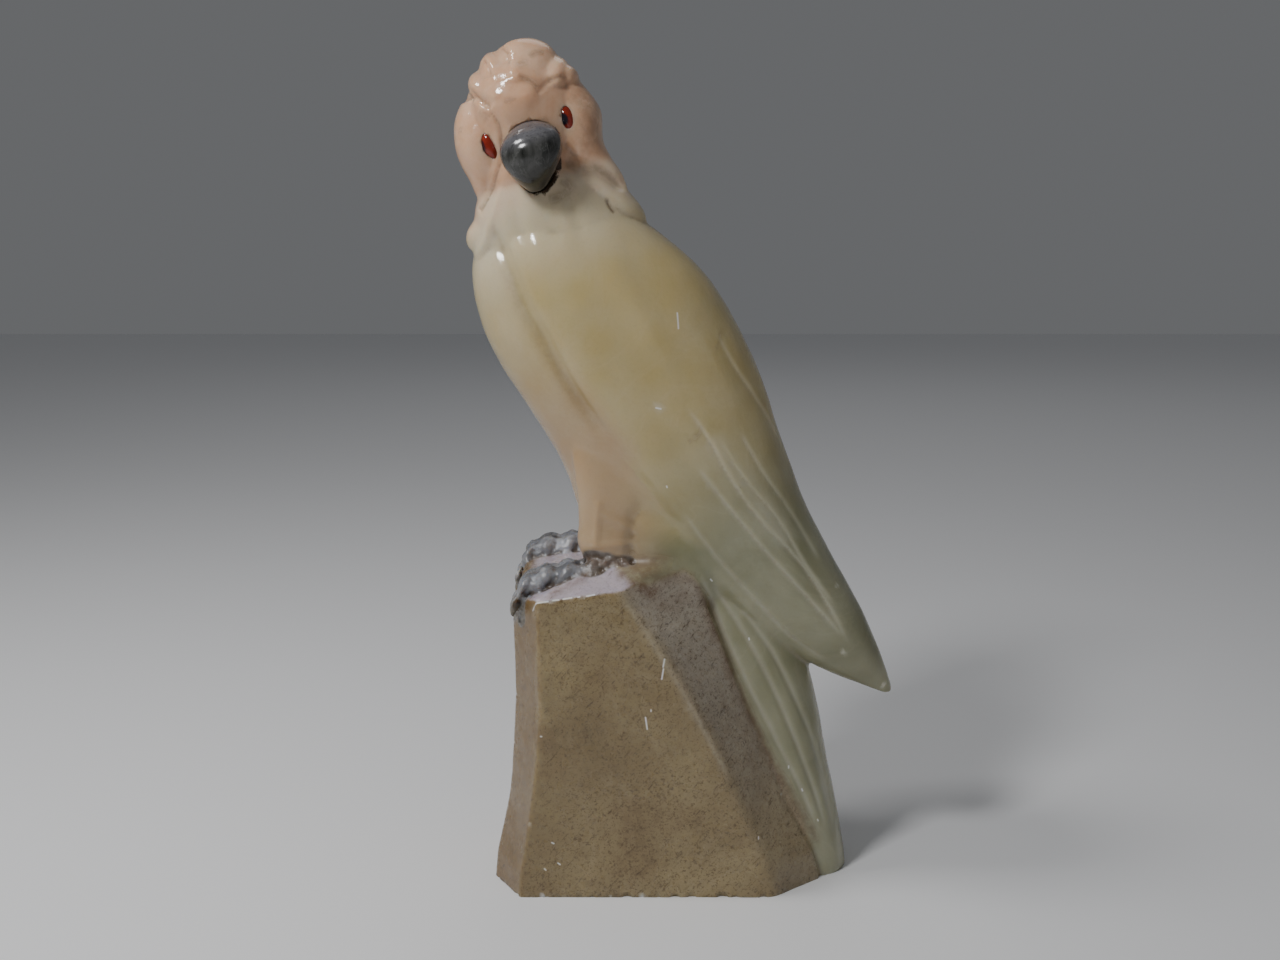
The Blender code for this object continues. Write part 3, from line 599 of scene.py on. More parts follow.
def toe_distance(co):
    """How far each place is from the nearest toe's skin, in metres."""
    best = np.full(len(co), 1.0)
    near = np.flatnonzero((co[:, 0] < 0.006) & (co[:, 2] > 0.070) & (co[:, 2] < 0.108))
    for points, radius, knuckles in toe_strands():
        rows = [tuple(point) for point in points]
        for index in range(41):
            share = index / 40
            middle = np.array(curve_through(rows, share))
            distance = np.linalg.norm(co[near] - middle, axis=1) - toe_size(radius, knuckles, share)
            best[near] = np.minimum(best[near], distance)
    return best


def scoop(co, centre, radius):
    """A chip: what lies within a ball is moved to the ball's skin."""
    away = co - np.array(centre)
    distance = np.linalg.norm(away, axis=1)
    hit = np.flatnonzero(distance < radius)
    if len(hit):
        length = np.maximum(distance[hit], 1e-6)[:, None]
        co[hit] = np.array(centre) + away[hit] / length * radius


def block_chips():
    """Small breaks along the block's edges, bottom and slanted top: place, radius, depth, whiteness."""
    picker = random.Random(11)
    chips = []
    for which, count, largest in (("left front", 15, 0.0012), ("front left", 13, 0.0008),
                                  ("right front", 5, 0.0008), ("left back", 10, 0.0012),
                                  ("back left", 9, 0.0010), ("right back", 6, 0.0010)):
        for _ in range(count):
            z = picker.uniform(1, 88)
            white = picker.uniform(0.3, 1.0) if picker.random() < 0.5 else 0.0
            chips.append((plinth_corner(which, z), picker.uniform(0.0004, largest), 0.6, white))
    corners = list(CORNER_ROWS)
    for index, which in enumerate(corners):
        start = plinth_corner(which, 1)
        end = plinth_corner(corners[(index + 1) % len(corners)], 1)
        count = int((end - start).length / 0.0042)
        for step in range(count):
            place = start.lerp(end, (step + picker.random()) / count)
            place.z = picker.uniform(-0.0007, 0.0006)
            white = 0.8 if picker.random() < 0.25 else 0.0
            radius = picker.uniform(0.0004, 0.0011 if white else 0.0021)
            chips.append((place, radius, 0.5, white))
    rim_start, rim_end = block(-36.8, 88.6, -0.90), block(-15.7, 91.6, -0.905)
    for step in range(34):
        place = rim_start.lerp(rim_end, (step + picker.random()) / 34)
        chips.append((place, picker.uniform(0.0003, 0.0007), 0.6, picker.uniform(0.4, 1.0)))
    rim_start, rim_end = block(-36.8, 88.6, -0.90), block(-38.3, 85.2, -0.88)
    for step in range(6):
        chips.append((rim_start.lerp(rim_end, step / 6), 0.0006, 0.6, 1.0))
    return chips


def chip_edges(co):
    for place, radius, sunk, _ in block_chips():
        outward = Vector((place.x, place.y * 1.5, 0.0)).normalized()
        scoop(co, place + outward * radius * sunk, radius)


def whiteness(co):
    """Where the chips have left fresh white stone, which also stands for the glints along the broken edges:
    partly painted highlight.
    """
    chip_white_and_glint = np.zeros(len(co))
    for place, radius, _, white in block_chips():
        distance = np.linalg.norm(co - np.array(place), axis=1)
        chip_white_and_glint = np.maximum(chip_white_and_glint, white * ease(radius * 1.1, radius * 0.4, distance))
    return chip_white_and_glint


def even_out(stone):
    """Smooth the wing's and belly's joins, the low end of the block's ridge and the crest's roots."""
    place = Surface(stone.data)
    near, far, _, _ = beside_line(place.x, place.height, WING_ROOT, 8)
    amount = np.zeros(len(place.co))
    amount[near] = ease(8, 3, far) * place.flank[near]
    near, far, _, _ = beside_line(place.across, place.up, LOW_RIDGE, 8)
    amount[near] = np.maximum(amount[near], 0.9 * ease(7, 2, far) * ease(54, 28, place.up[near]))
    near, far, _, _ = beside_line(place.x, place.height, BELLY_FOOT, 6)
    amount[near] = np.maximum(amount[near], ease(6, 2, far))
    brow = np.hypot(place.head_x / 9, (place.head_z - 10) / 6)
    amount = np.maximum(amount, 0.5 * ease(1.2, 0.7, brow) * place.face)
    group = stone.vertex_groups.new(name="even")
    for level in (0.25, 0.5, 0.75, 1.0):
        chosen = np.flatnonzero((amount > level - 0.25) & (amount <= level))
        group.add([int(index) for index in chosen], level, "REPLACE")
    soften = stone.modifiers.new("even out", "SMOOTH")
    soften.factor = 0.8
    soften.iterations = 60
    soften.vertex_group = group.name
    settle(stone)
    stone.vertex_groups.clear()


def carve(mesh):
    """Everything that is cut into the figure."""
    stone = Surface(mesh)
    low_body = ease(-50, -46, stone.height) * stone.flank
    stone.groove(stone.x, stone.height, WING_EDGE, 1.2, 2.0, low_body, (0.14, 0.7))
    stone.groove(stone.x, stone.height, SHOULDER_RIDGE, -0.7, 4.0, stone.flank, (0.3, 0.5))
    for line, depth, width in FEATHER_EDGES:
        stone.ledge(stone.x, stone.height, line, depth, width, low_body)
    for line, depth, width in LEG_EDGES:
        stone.groove(stone.x, stone.height, line, depth, width, stone.flank, (0.2, 0.8))
    below = ease(95, 88, stone.up) * stone.flank
    for line, depth, width in TAIL_LINES:
        stone.groove(stone.across, stone.up, line, depth, width, below)
    back = ease(0.15, 0.4, stone.normal[:, 0])
    back *= ease(45, 25, stone.height) * ease(-44, -36, stone.height)
    stone.lift -= 1.1 * back * np.exp(-((stone.y / 1.6) ** 2))
    for line, depth, width in CREST_STEPS:
        stone.ledge(stone.head_x, stone.head_z, line, depth, width, stone.face, (0.1, 0.35))
    for line, depth, width in CREST_CREASES:
        stone.groove(stone.head_x, stone.head_z, line, depth, width, stone.face)
    stone.ledge(stone.head_x, stone.head_z, LAPPET_LEDGE, 1.7, 3.4, stone.face, (0.2, 0.92))
    notch = ease(7, -1, stone.head_y)
    stone.groove(stone.head_x, stone.head_z, LAPPET_NOTCH, 1.9, 1.1, notch, (0.4, 0.999))
    stone.ledge(stone.head_x, stone.head_z, LAPPET_EDGE, 0.9, 3.0, stone.face, (0.05, 0.7))
    stone.groove(stone.head_x, stone.head_z, CHEEK_EDGE, 1.1, 2.1, stone.face, (0.15, 0.85))
    stone.groove(stone.head_x, stone.head_z, RUFF_CRACK, 0.35, 0.35, stone.face)
    throat = stone.face * ease(-40, -26, stone.head_z) * ease(-14, -22, stone.head_z)
    for middle, width in THROAT_FLUTES:
        stone.lift -= 0.6 * throat * np.exp(-(((stone.head_x - middle) / width) ** 2))
    bump = np.hypot((stone.head_x - 2.4) / 3.2, (stone.head_z - 7.0) / 2.6)
    stone.lift += 0.7 * stone.face * np.exp(-(bump ** 2))
    everywhere = np.ones(len(stone.co))
    stone.wobble(0.017, 0.00035, everywhere, 1)
    stone.wobble(0.006, 0.00010, everywhere, 2)
    toes = ease(0.0012, -0.0002, toe_distance(stone.co))
    stone.wobble(0.0040, 0.0008, toes, 3)
    stone.wobble(0.0018, 0.00045, toes, 4)
    co = stone.moved()
    chip_edges(co)
    mesh.vertices.foreach_set("co", co.astype(np.float32).reshape(-1))
    mesh.update()


def evaluated_copy(thing):
    """The mesh that an object's modifiers give, as a mesh of its own."""
    graph = bpy.context.evaluated_depsgraph_get()
    return bpy.data.meshes.new_from_object(thing.evaluated_get(graph))


def settle(thing):
    """Turn the object's modifiers into its mesh."""
    old = thing.data
    thing.data = evaluated_copy(thing)
    thing.modifiers.clear()
    bpy.data.meshes.remove(old)


def saw_underside(mesh):
    """Saw the figure and the block off flat where they stand on the table."""
    bm = bmesh.new()
    bm.from_mesh(mesh)
    everything = bm.verts[:] + bm.edges[:] + bm.faces[:]
    cut = bmesh.ops.bisect_plane(bm, geom=everything, plane_co=(0, 0, 0), plane_no=(0, 0, -1),
                                 dist=1e-6, clear_outer=True)
    edges = [item for item in cut["geom_cut"] if isinstance(item, bmesh.types.BMEdge)]
    bmesh.ops.holes_fill(bm, edges=edges)
    bmesh.ops.triangulate(bm, faces=bm.faces[:])
    bm.to_mesh(mesh)
    bm.free()


def carved_stone():
    """The bird and its block as one piece of stone, with its carving, chips and sockets."""
    bm = bmesh.new()
    for add in (add_torso, add_wings, add_tail, add_legs, add_feet, add_neck, add_head, add_plinth):
        add(bm)
    stone = in_scene("onyx_carving", as_mesh(bm, "onyx_carving"))
    union = stone.modifiers.new("union", "REMESH")
    union.mode = "VOXEL"
    union.voxel_size = CELL
    soften = stone.modifiers.new("soften", "SMOOTH")
    soften.factor = 0.5
    soften.iterations = SMOOTH_ROUNDS
    settle(stone)
    even_out(stone)
    carve(stone.data)
    thin = stone.modifiers.new("thin", "DECIMATE")
    thin.ratio = STONE_TRIANGLES / (2 * len(stone.data.polygons))
    settle(stone)
    saw_underside(stone.data)
    sink(stone, [beak_mesh(INLAY_GAP), eye_mesh(1, INLAY_GAP), eye_mesh(-1, INLAY_GAP)])
    stone.data.shade_smooth()
    return stone


# The inlays

def beak_mesh(gap, sides=64, rings=48):
    """The beak, standing out of its socket, made larger all round by the gap."""
    half, tall = BEAK_WIDTH / 2 / UNIT, BEAK_LENGTH / UNIT
    stand, back = BEAK_STAND / UNIT, BEAK_SOCKET / UNIT
    grow = gap / UNIT
    bm = bmesh.new()
    stations = []
    for fall, front, width, sway in BEAK_PROFILE:
        x = BEAK_PLACE[0] - sway
        z = BEAK_PLACE[2] + (0.5 - fall) * (tall + 2 * grow)
        near = in_head(x, BEAK_PLACE[1] - stand * front - grow, z)
        far = in_head(x, BEAK_PLACE[1] + back + grow, z)
        stations.append((near, far, (half * width + grow) * UNIT))
    swept_form(bm, stations, side=HEAD_SIDE, front=2.0, back=6.0, blunt=3.0, sides=sides, rings=rings)
    if bm.calc_volume(signed=True) < 0:
        bmesh.ops.reverse_faces(bm, faces=bm.faces[:])
    return as_mesh(bm, "beak")


def eye_place(hand):
    turned = Matrix.Rotation(EYE_TURNS[hand], 4, "Z")
    place = HEAD @ Matrix.Translation(Vector(EYE_PLACES[hand])) @ turned
    inward = (EYE_STAND - EYE_SIZE[1] / 2) / UNIT
    return place @ Matrix.Translation(Vector((0, -inward, 0))) @ Matrix.Scale(1 / UNIT, 4)


def eye_mesh(hand, gap):
    """An almond bead, set in the side of the face and leaning as the head does."""
    sizes = [size / 2 + gap for size in EYE_SIZE]
    bm = bmesh.new()
    bmesh.ops.create_uvsphere(bm, u_segments=40, v_segments=32, radius=1.0)
    for vert in bm.verts:
        low = max(0.0, -vert.co.z)
        vert.co.x = vert.co.x * (1 - 0.45 * low ** 3) + 0.35 * low ** 2 * (1 if hand < 0 else 0.6)
    bm.transform(eye_place(hand) @ Matrix.Diagonal((*sizes, 1.0)))
    return as_mesh(bm, "eye")


def sink(stone, meshes):
    """Cut the sockets of the inlays into the stone."""
    bm = bmesh.new()
    for mesh in meshes:
        bm.from_mesh(mesh)
        bpy.data.meshes.remove(mesh)
    joined = as_mesh(bm, "sockets")
    cutter = in_scene("sockets", joined)
    socket = stone.modifiers.new("sockets", "BOOLEAN")
    socket.operation = "DIFFERENCE"
    socket.solver = "EXACT"
    socket.object = cutter
    settle(stone)
    bpy.data.objects.remove(cutter, do_unlink=True)
    bpy.data.meshes.remove(joined)


# What the surface is like in each place

def set_field(mesh, name, values):
    layer = mesh.attributes.new(name, "FLOAT", "POINT")
    layer.data.foreach_set("value", np.asarray(values, np.float32))


def bulge(mesh, rounds):
    """How much each vertex stands out from its neighbours, smoothed over a few rounds."""
    surface = Surface(mesh)
    count = len(mesh.vertices)
    pairs = np.empty(len(mesh.edges) * 2, np.int32)
    mesh.edges.foreach_get("vertices", pairs)
    pairs = pairs.reshape(-1, 2)
    degree = np.bincount(pairs.reshape(-1), minlength=count)[:, None]

    def around(values):
        total = np.zeros_like(values)
        np.add.at(total, pairs[:, 0], values[pairs[:, 1]])
        np.add.at(total, pairs[:, 1], values[pairs[:, 0]])
        return total / np.maximum(degree, 1)

    smooth = surface.co.copy()
    for _ in range(rounds):
        smooth = 0.5 * smooth + 0.5 * around(smooth)
    return ((surface.co - smooth) * surface.normal).sum(1)


def line_marks(x, z, lines):
    """How strongly each place is marked by lines: (points, strength, width) each."""
    marks = np.zeros(len(x))
    for points, strength, width in lines:
        near, far, _, share = beside_line(x, z, points, 3 * width)
        ends = ease(-0.02, 0.12, share) * ease(1.02, 0.88, share)
        marks[near] = np.maximum(marks[near], strength * ends * np.exp(-((far / width) ** 2)))
    return marks


def glue_marks(place, beak):
    """Brown glue squeezed out round the beak, most of it below and to its right."""
    tree = BVHTree.FromPolygons([vert.co for vert in beak.vertices],
                                [polygon.vertices for polygon in beak.polygons])
    glue = np.zeros(len(place.co))
    near = np.flatnonzero((np.abs(place.head_x) < 14) & (np.abs(place.head_z - GLUE_MIDDLE[1]) < 16)
                          & (place.head_y < 0))
    for index in near:
        found = tree.find_nearest(Vector(place.co[index]), GLUE_REACH)
        if found[0] is None:
            continue
        right = place.head_x[index] - GLUE_MIDDLE[0]
        down = GLUE_MIDDLE[1] - place.head_z[index]
        toward = (0.75 * right + 0.65 * down) / max(math.hypot(right, down), 0.1)
        width = 0.0001 + 0.0014 * clamp(toward)
        glue[index] = ease(1.6 * width, 0.5 * width, found[3]) * clamp(3 * toward + 1)
    return glue


def describe_surface(stone, beak):
    """Fields on the vertices that the material reads: zones of colour, crust, wear and dirt, and places of
    painted shade, sheen and glints.
    """
    mesh = stone.data
    place = Surface(mesh)
    head = ease(-24, -12, place.head_z + 0.35 * np.abs(place.head_x)) * ease(88, 100, place.height)
    throat = ease(-12, -17, place.head_z) * ease(-50, -23, place.head_z) * ease(2, -8, place.head_y)
    near, far, side, _ = beside_line(place.x, place.height, WING_EDGE, 40)
    strip = np.zeros(len(place.co))
    strip[near] = ease(-0.8, 0.8, far * side)
    # Paler only near the top, where the breast faces the light: partly painted light.
    strip *= ease(50, 92, place.height) * ease(104, 94, place.height)
    leg = ease(74, 26, place.height) * ease(6, -16, place.x) * ease(-5, 1, place.height)
    leg[near] *= ease(-9, 0, far * side)
    tail = ease(-16, 22, place.x) * ease(56, 2, place.height)
    tail = np.maximum(tail, ease(15, 1, place.height) * ease(-17, -10, place.x))
    edge = np.interp(place.up, (0, 20, 38, 54, 69, 89, 100), (49, 42.5, 33, 25.5, 19.5, 12, 8))
    top = np.interp(place.across, (-15, -9, -4, 2, 7, 11, 15), (99, 94.0, 93.6, 95.6, 96.8, 92.5, 88))
    low = ease(1.2, -1.2, place.up - top)
    stone_block = low * ease(0.8, -0.8, place.across - edge)
    ridge = np.interp(place.up, CORNER_LEVELS, corner_across("front ridge"))
    # The stone's mauve tone on the right facet; the material makes it lighter as painted light.
    mauve = ease(-3, 4, place.across - ridge) * stone_block * (0.2 + 0.65 * ease(5, 65, place.up))
    left_edge = np.interp(place.up, CORNER_LEVELS, corner_across("front left"))
    # Painted shade: the narrow facet at the left, darkened in the material.
    left_facet_shade = stone_block * ease(1, -2, place.across - left_edge)
    # Painted sheen: the up-facing slanted top, which the material lays over with pale lavender.
    chamfer_sheen = stone_block * ease(0.35, 0.6, place.normal[:, 2]) * ease(84, 87, place.up)
    chamfer_sheen *= ease(1, -8, place.across) * ease(-41, -37, place.across)
    toes = ease(0.0013, 0.0003, toe_distance(place.co))
    claw = toes * ease(-26, -20, place.x)
    knobs = toes * ease(91, 84, place.up)
    recess = ease(0.00004, 0.00022, -bulge(mesh, 6))
    # Stains, with painted shade in some of the lines and on the belly's foot.
    stain_and_shade = line_marks(place.head_x, place.head_z, HEAD_STAINS_AND_SHADE) * place.face
    stain_and_shade = np.maximum(stain_and_shade, line_marks(place.x, place.height, BODY_STAINS_AND_SHADE) * place.flank)
    stain_and_shade = np.maximum(stain_and_shade, line_marks(place.across, place.up, BLOCK_STAINS_AND_SHADE) * place.flank * low)
    # Painted shade on the up-facing ledge where the belly comes down to the block beside the rear toes.
    foot_shade = ease(6, 2, np.abs(place.height + 2)) * ease(-14, -10, place.x) * ease(10, -5, place.x)
    stain_and_shade = np.maximum(stain_and_shade, 0.75 * foot_shade * ease(0.0, 0.3, place.normal[:, 2]) * (1 - toes))
    feathers = [(line, 0.38, 0.7) for line, _, _ in FEATHER_EDGES]
    quills = [(line, 0.42, 0.7) for line, _, _ in TAIL_LINES]
    pale = line_marks(place.x, place.height, feathers + BODY_PALE) * place.flank
    pale = np.maximum(pale, line_marks(place.across, place.up, quills + BLOCK_PALE) * place.flank)
    fields = {"head": head, "throat": throat, "strip": strip, "leg": leg, "tail": tail,
              "block": stone_block, "mauve": mauve, "left_facet_shade": left_facet_shade, "chamfer_sheen": chamfer_sheen,
              "toes": toes, "claw": claw, "knobs": knobs, "recess": recess, "stain_and_shade": stain_and_shade,
              "pale": pale, "chip_white_and_glint": whiteness(place.co), "glue": glue_marks(place, beak)}
    for name, values in fields.items():
        set_field(mesh, name, values)


# Materials

def put(tree, kind, sockets=None, **settings):
    """Adds a node, with its settings, and its inputs given as values or as other nodes' outputs."""
    node = tree.nodes.new(kind)
    for name, value in settings.items():
        setattr(node, name, value)
    for key, value in (sockets or {}).items():
        if isinstance(value, bpy.types.NodeSocket):
            tree.links.new(value, node.inputs[key])
        else:
            node.inputs[key].default_value = value
    return node


def blend(tree, share, first, second):
    """Goes from the first colour to the second as the share goes from 0 to 1."""
    node = put(tree, "ShaderNodeMix", data_type="RGBA")
    for key, value in ((0, share), (6, first), (7, second)):
        if isinstance(value, bpy.types.NodeSocket):
            tree.links.new(value, node.inputs[key])
        else:
            node.inputs[key].default_value = value if key == 0 else (*value[:3], 1.0)
    return node.outputs[2]


def remap(tree, value, low, high, to_low=0.0, to_high=1.0):
    sockets = {"Value": value, "From Min": low, "From Max": high, "To Min": to_low, "To Max": to_high}
    return put(tree, "ShaderNodeMapRange", sockets).outputs["Result"]


def calc(tree, operation, first, second):
    return put(tree, "ShaderNodeMath", {0: first, 1: second}, operation=operation).outputs[0]


def times(tree, first, second):
    return calc(tree, "MULTIPLY", first, second)


def grain(tree, place, scale, detail, roughness=0.5, distortion=0.0):
    """Noise between 0 and 1."""
    sockets = {"Vector": place, "Scale": scale, "Detail": detail, "Roughness": roughness,
               "Distortion": distortion}
    return put(tree, "ShaderNodeTexNoise", sockets).outputs["Fac"]


def new_group(name, inputs, outputs):
    """A shader node group with its sockets: (name, kind, starting value) in, (name, kind) out."""
    group = bpy.data.node_groups.new(name, "ShaderNodeTree")
    for title, kind, value in inputs:
        item = group.interface.new_socket(title, in_out="INPUT", socket_type=kind)
        if value is not None:
            item.default_value = value
    for title, kind in outputs:
        group.interface.new_socket(title, in_out="OUTPUT", socket_type=kind)
    return group, group.nodes.new("NodeGroupInput").outputs, group.nodes.new("NodeGroupOutput").inputs


def stone_clouds_group():
    """Clouds, thin veins and fine specks inside a polished stone."""
    inputs = [("Place", "NodeSocketVector", None), ("Cloud Scale", "NodeSocketFloat", 40.0),
              ("Vein Scale", "NodeSocketFloat", 30.0), ("Speck Scale", "NodeSocketFloat", 900.0)]
    outputs = [("Clouds", "NodeSocketFloat"), ("Veins", "NodeSocketFloat"), ("Specks", "NodeSocketFloat")]
    tree, given, out = new_group("stone clouds", inputs, outputs)
    clouds = grain(tree, given["Place"], given["Cloud Scale"], 5.0, 0.55, 0.6)
    tree.links.new(remap(tree, clouds, 0.32, 0.68), out["Clouds"])
    veins = grain(tree, given["Place"], given["Vein Scale"], 6.0, 0.6, 1.2)
    middle = calc(tree, "ABSOLUTE", calc(tree, "SUBTRACT", veins, 0.5), 0.0)
    tree.links.new(remap(tree, middle, 0.0, 0.022, 1.0, 0.0), out["Veins"])
    specks = grain(tree, given["Place"], given["Speck Scale"], 3.0, 0.7)
    tree.links.new(remap(tree, specks, 0.55, 0.68), out["Specks"])
    return tree


def hand_polish_group():
    """The unevenness of a surface polished by hand: its roughness and a low relief."""
    inputs = [("Place", "NodeSocketVector", None), ("Shine", "NodeSocketFloat", 0.18),
              ("Haze", "NodeSocketFloat", 0.12)]
    outputs = [("Roughness", "NodeSocketFloat"), ("Relief", "NodeSocketFloat")]
    tree, given, out = new_group("hand polish", inputs, outputs)
    smears = grain(tree, given["Place"], 140.0, 4.0, 0.6)
    haze = times(tree, remap(tree, smears, 0.4, 0.75), given["Haze"])
    tree.links.new(calc(tree, "ADD", given["Shine"], haze), out["Roughness"])
    pits = grain(tree, given["Place"], 700.0, 4.0, 0.65)
    swells = grain(tree, given["Place"], 220.0, 2.0)
    tree.links.new(calc(tree, "ADD", times(tree, pits, 0.35), swells), out["Relief"])
    return tree


def clouds_at(tree, group, place, cloud_scale, vein_scale, speck_scale):
    sockets = {"Place": place, "Cloud Scale": cloud_scale, "Vein Scale": vein_scale,
               "Speck Scale": speck_scale}
    return put(tree, "ShaderNodeGroup", sockets, node_tree=group).outputs


def polish_at(tree, group, place, shine, haze):
    sockets = {"Place": place, "Shine": shine, "Haze": haze}
    return put(tree, "ShaderNodeGroup", sockets, node_tree=group).outputs


def bump_of(tree, relief, strength, distance):
    sockets = {"Height": relief, "Strength": strength, "Distance": distance}
    return put(tree, "ShaderNodeBump", sockets).outputs["Normal"]


def new_material(name):
    material = bpy.data.materials.new(name)
    material.use_nodes = True
    tree = material.node_tree
    return material, tree, tree.nodes["Principled BSDF"]


def glow_within(shader, weight, radius, scale):
    """Let light into the material and out again, further in red than in blue."""
    shader.inputs["Subsurface Weight"].default_value = weight
    shader.inputs["Subsurface Radius"].default_value = radius
    shader.inputs["Subsurface Scale"].default_value = scale


def field(tree, name):
    """The values of that name on the vertices."""
    return put(tree, "ShaderNodeAttribute", attribute_name=name, attribute_type="GEOMETRY").outputs["Fac"]


def white_streak_group():
    """A mask that is 1 near the straight line between two places."""
    inputs = [("Place", "NodeSocketVector", None), ("Start", "NodeSocketVector", None),
              ("End", "NodeSocketVector", None), ("Width", "NodeSocketFloat", WHITE_STREAK_WIDTH)]
    tree, given, out = new_group("white_streak", inputs, [("Mask", "NodeSocketFloat")])

    def vector_calc(operation, first, second):
        return put(tree, "ShaderNodeVectorMath", {0: first, 1: second}, operation=operation)

    away = vector_calc("SUBTRACT", given["Place"], given["Start"]).outputs["Vector"]
    line = vector_calc("SUBTRACT", given["End"], given["Start"]).outputs["Vector"]
    along = vector_calc("DOT_PRODUCT", away, line).outputs["Value"]
    whole = vector_calc("DOT_PRODUCT", line, line).outputs["Value"]
    share = put(tree, "ShaderNodeMath", {0: along, 1: whole}, operation="DIVIDE", use_clamp=True).outputs[0]
    reached = put(tree, "ShaderNodeVectorMath", {0: line, "Scale": share}, operation="SCALE")
    distance = vector_calc("DISTANCE", away, reached.outputs["Vector"]).outputs["Value"]
    tree.links.new(remap(tree, distance, given["Width"], 0.0), out["Mask"])
    return tree


def scratch_and_glint_masks(tree, place, stone, group):
    """Little white scratched marks and nicks on the front, painted glints on the wing and tail, and broken
    bits along the slanted top's rim, whose white is partly painted glint.
    """
    result = None
    for start, end in SCRATCHES_AND_GLINTS:
        ends = []
        for x, z in (start, end):
            ends.append(stone.ray_cast(block(x, z, -4.0), SIDEWAYS)[1])
        sockets = {"Place": place, "Start": ends[0], "End": ends[1], "Width": WHITE_STREAK_WIDTH}
        mask = put(tree, "ShaderNodeGroup", sockets, node_tree=group).outputs["Mask"]
        result = mask if result is None else calc(tree, "MAXIMUM", result, mask)
    return result


def tint(tree, colour, where, amount, tone):
    """Lay a tone over a colour where the field of that name says, by the amount at most."""
    return blend(tree, times(tree, field(tree, where), amount), colour, tone)


def bird_colour(tree, place, large, small):
    """Cream over the body, green-grey in the tail, peach in head and legs, with faint pale patches."""
    cream = blend(tree, large["Clouds"], (0.485, 0.388, 0.18), (0.535, 0.425, 0.202))
    tail = blend(tree, large["Clouds"], (0.225, 0.22, 0.123), (0.33, 0.325, 0.212))
    peach = blend(tree, small["Clouds"], (0.62, 0.345, 0.20), (0.72, 0.47, 0.32))
    colour = tint(tree, cream, "tail", 1.0, tail)
    colour = tint(tree, colour, "leg", 0.7, (0.46, 0.285, 0.175))
    # A pale band of stone down the breast, kept to its upper part where it faces the light: partly painted
    # light.
    colour = tint(tree, colour, "strip", 0.7, (0.62, 0.53, 0.37))
    colour = tint(tree, colour, "head", 1.0, peach)
    colour = tint(tree, colour, "throat", 0.65, (0.74, 0.65, 0.49))
    cells = put(tree, "ShaderNodeTexVoronoi", {"Vector": place, "Scale": 95.0, "Smoothness": 0.6},
                feature="SMOOTH_F1")
    patches = remap(tree, cells.outputs["Distance"], 0.25, 0.75, 0.0, 0.13)
    return blend(tree, patches, colour, (0.70, 0.66, 0.52))


def block_colour(tree, large, mottle):
    """Tan in front, mauve on the slanting right side made lighter as painted light, painted shade on the
    left facet, and patches of grime.
    """
    tan = blend(tree, large["Clouds"], (0.235, 0.172, 0.084), (0.37, 0.29, 0.152))
    # The stone's mauve tone, made lighter than it is as painted light to make up for the shade on the right
    # facet.
    mauve = blend(tree, large["Clouds"], (0.30, 0.262, 0.21), (0.41, 0.368, 0.306))
    earth = tint(tree, tan, "mauve", 1.0, mauve)
    # Painted shade: the narrow facet at the left is darkened to brown.
    earth = tint(tree, earth, "left_facet_shade", 0.9, (0.20, 0.125, 0.048))
    grime = remap(tree, mottle, 0.48, 0.72, 0.0, 0.38)
    return blend(tree, grime, earth, (0.14, 0.085, 0.04))


def foot_colour(tree, small):
    """Grey crust, browner on the ends that hang over the edge and on the short rear toes."""
    crust = blend(tree, small["Clouds"], (0.09, 0.09, 0.095), (0.36, 0.37, 0.40))
    crust = tint(tree, crust, "knobs", 0.75, (0.17, 0.145, 0.10))
    return tint(tree, crust, "claw", 0.8, (0.15, 0.115, 0.085))


def stroke_mask(tree, place, mottle):
    """Short dark strokes of the rasp, rising to the right, in patches."""
    turned = put(tree, "ShaderNodeMapping", {"Vector": place, "Rotation": (0.0, math.radians(48.0), 0.0)})
    strokes = put(tree, "ShaderNodeMapping", {"Vector": turned.outputs["Vector"],
                                              "Scale": (190.0, 300.0, 1500.0)})
    hatch = grain(tree, strokes.outputs["Vector"], 1.0, 2.0, 0.6)
    return times(tree, remap(tree, hatch, 0.60, 0.70), remap(tree, mottle, 0.42, 0.60, 0.0, 0.8))


def worn_dirty_and_shaded(tree, colour, mottle):
    """The colour with stains and painted shade, painted shade in the hollows, pale lines, the beak's glue,
    and fresh chips whose white is partly painted glint, over it.
    """
    broken = remap(tree, mottle, 0.36, 0.56, 0.35, 1.0)
    # Brown stains, and painted shade where the lines stand for shadows.
    stained_and_shaded = times(tree, times(tree, field(tree, "stain_and_shade"), broken), 0.8)
    colour = blend(tree, stained_and_shaded, colour, (0.13, 0.065, 0.03))
    # Painted shade: the hollows are darkened towards brown.
    colour = tint(tree, colour, "recess", 0.35, (0.20, 0.12, 0.06))
    # Pale lines and chips, with one painted glint among them.
    colour = tint(tree, colour, "pale", 0.75, (0.66, 0.63, 0.52))
    ragged = remap(tree, times(tree, field(tree, "glue"), broken), 0.35, 0.6)
    colour = blend(tree, ragged, colour, (0.06, 0.035, 0.02))
    # Fresh white stone of the chips, partly painted glints along broken edges.
    return tint(tree, colour, "chip_white_and_glint", 1.0, (0.86, 0.84, 0.80))


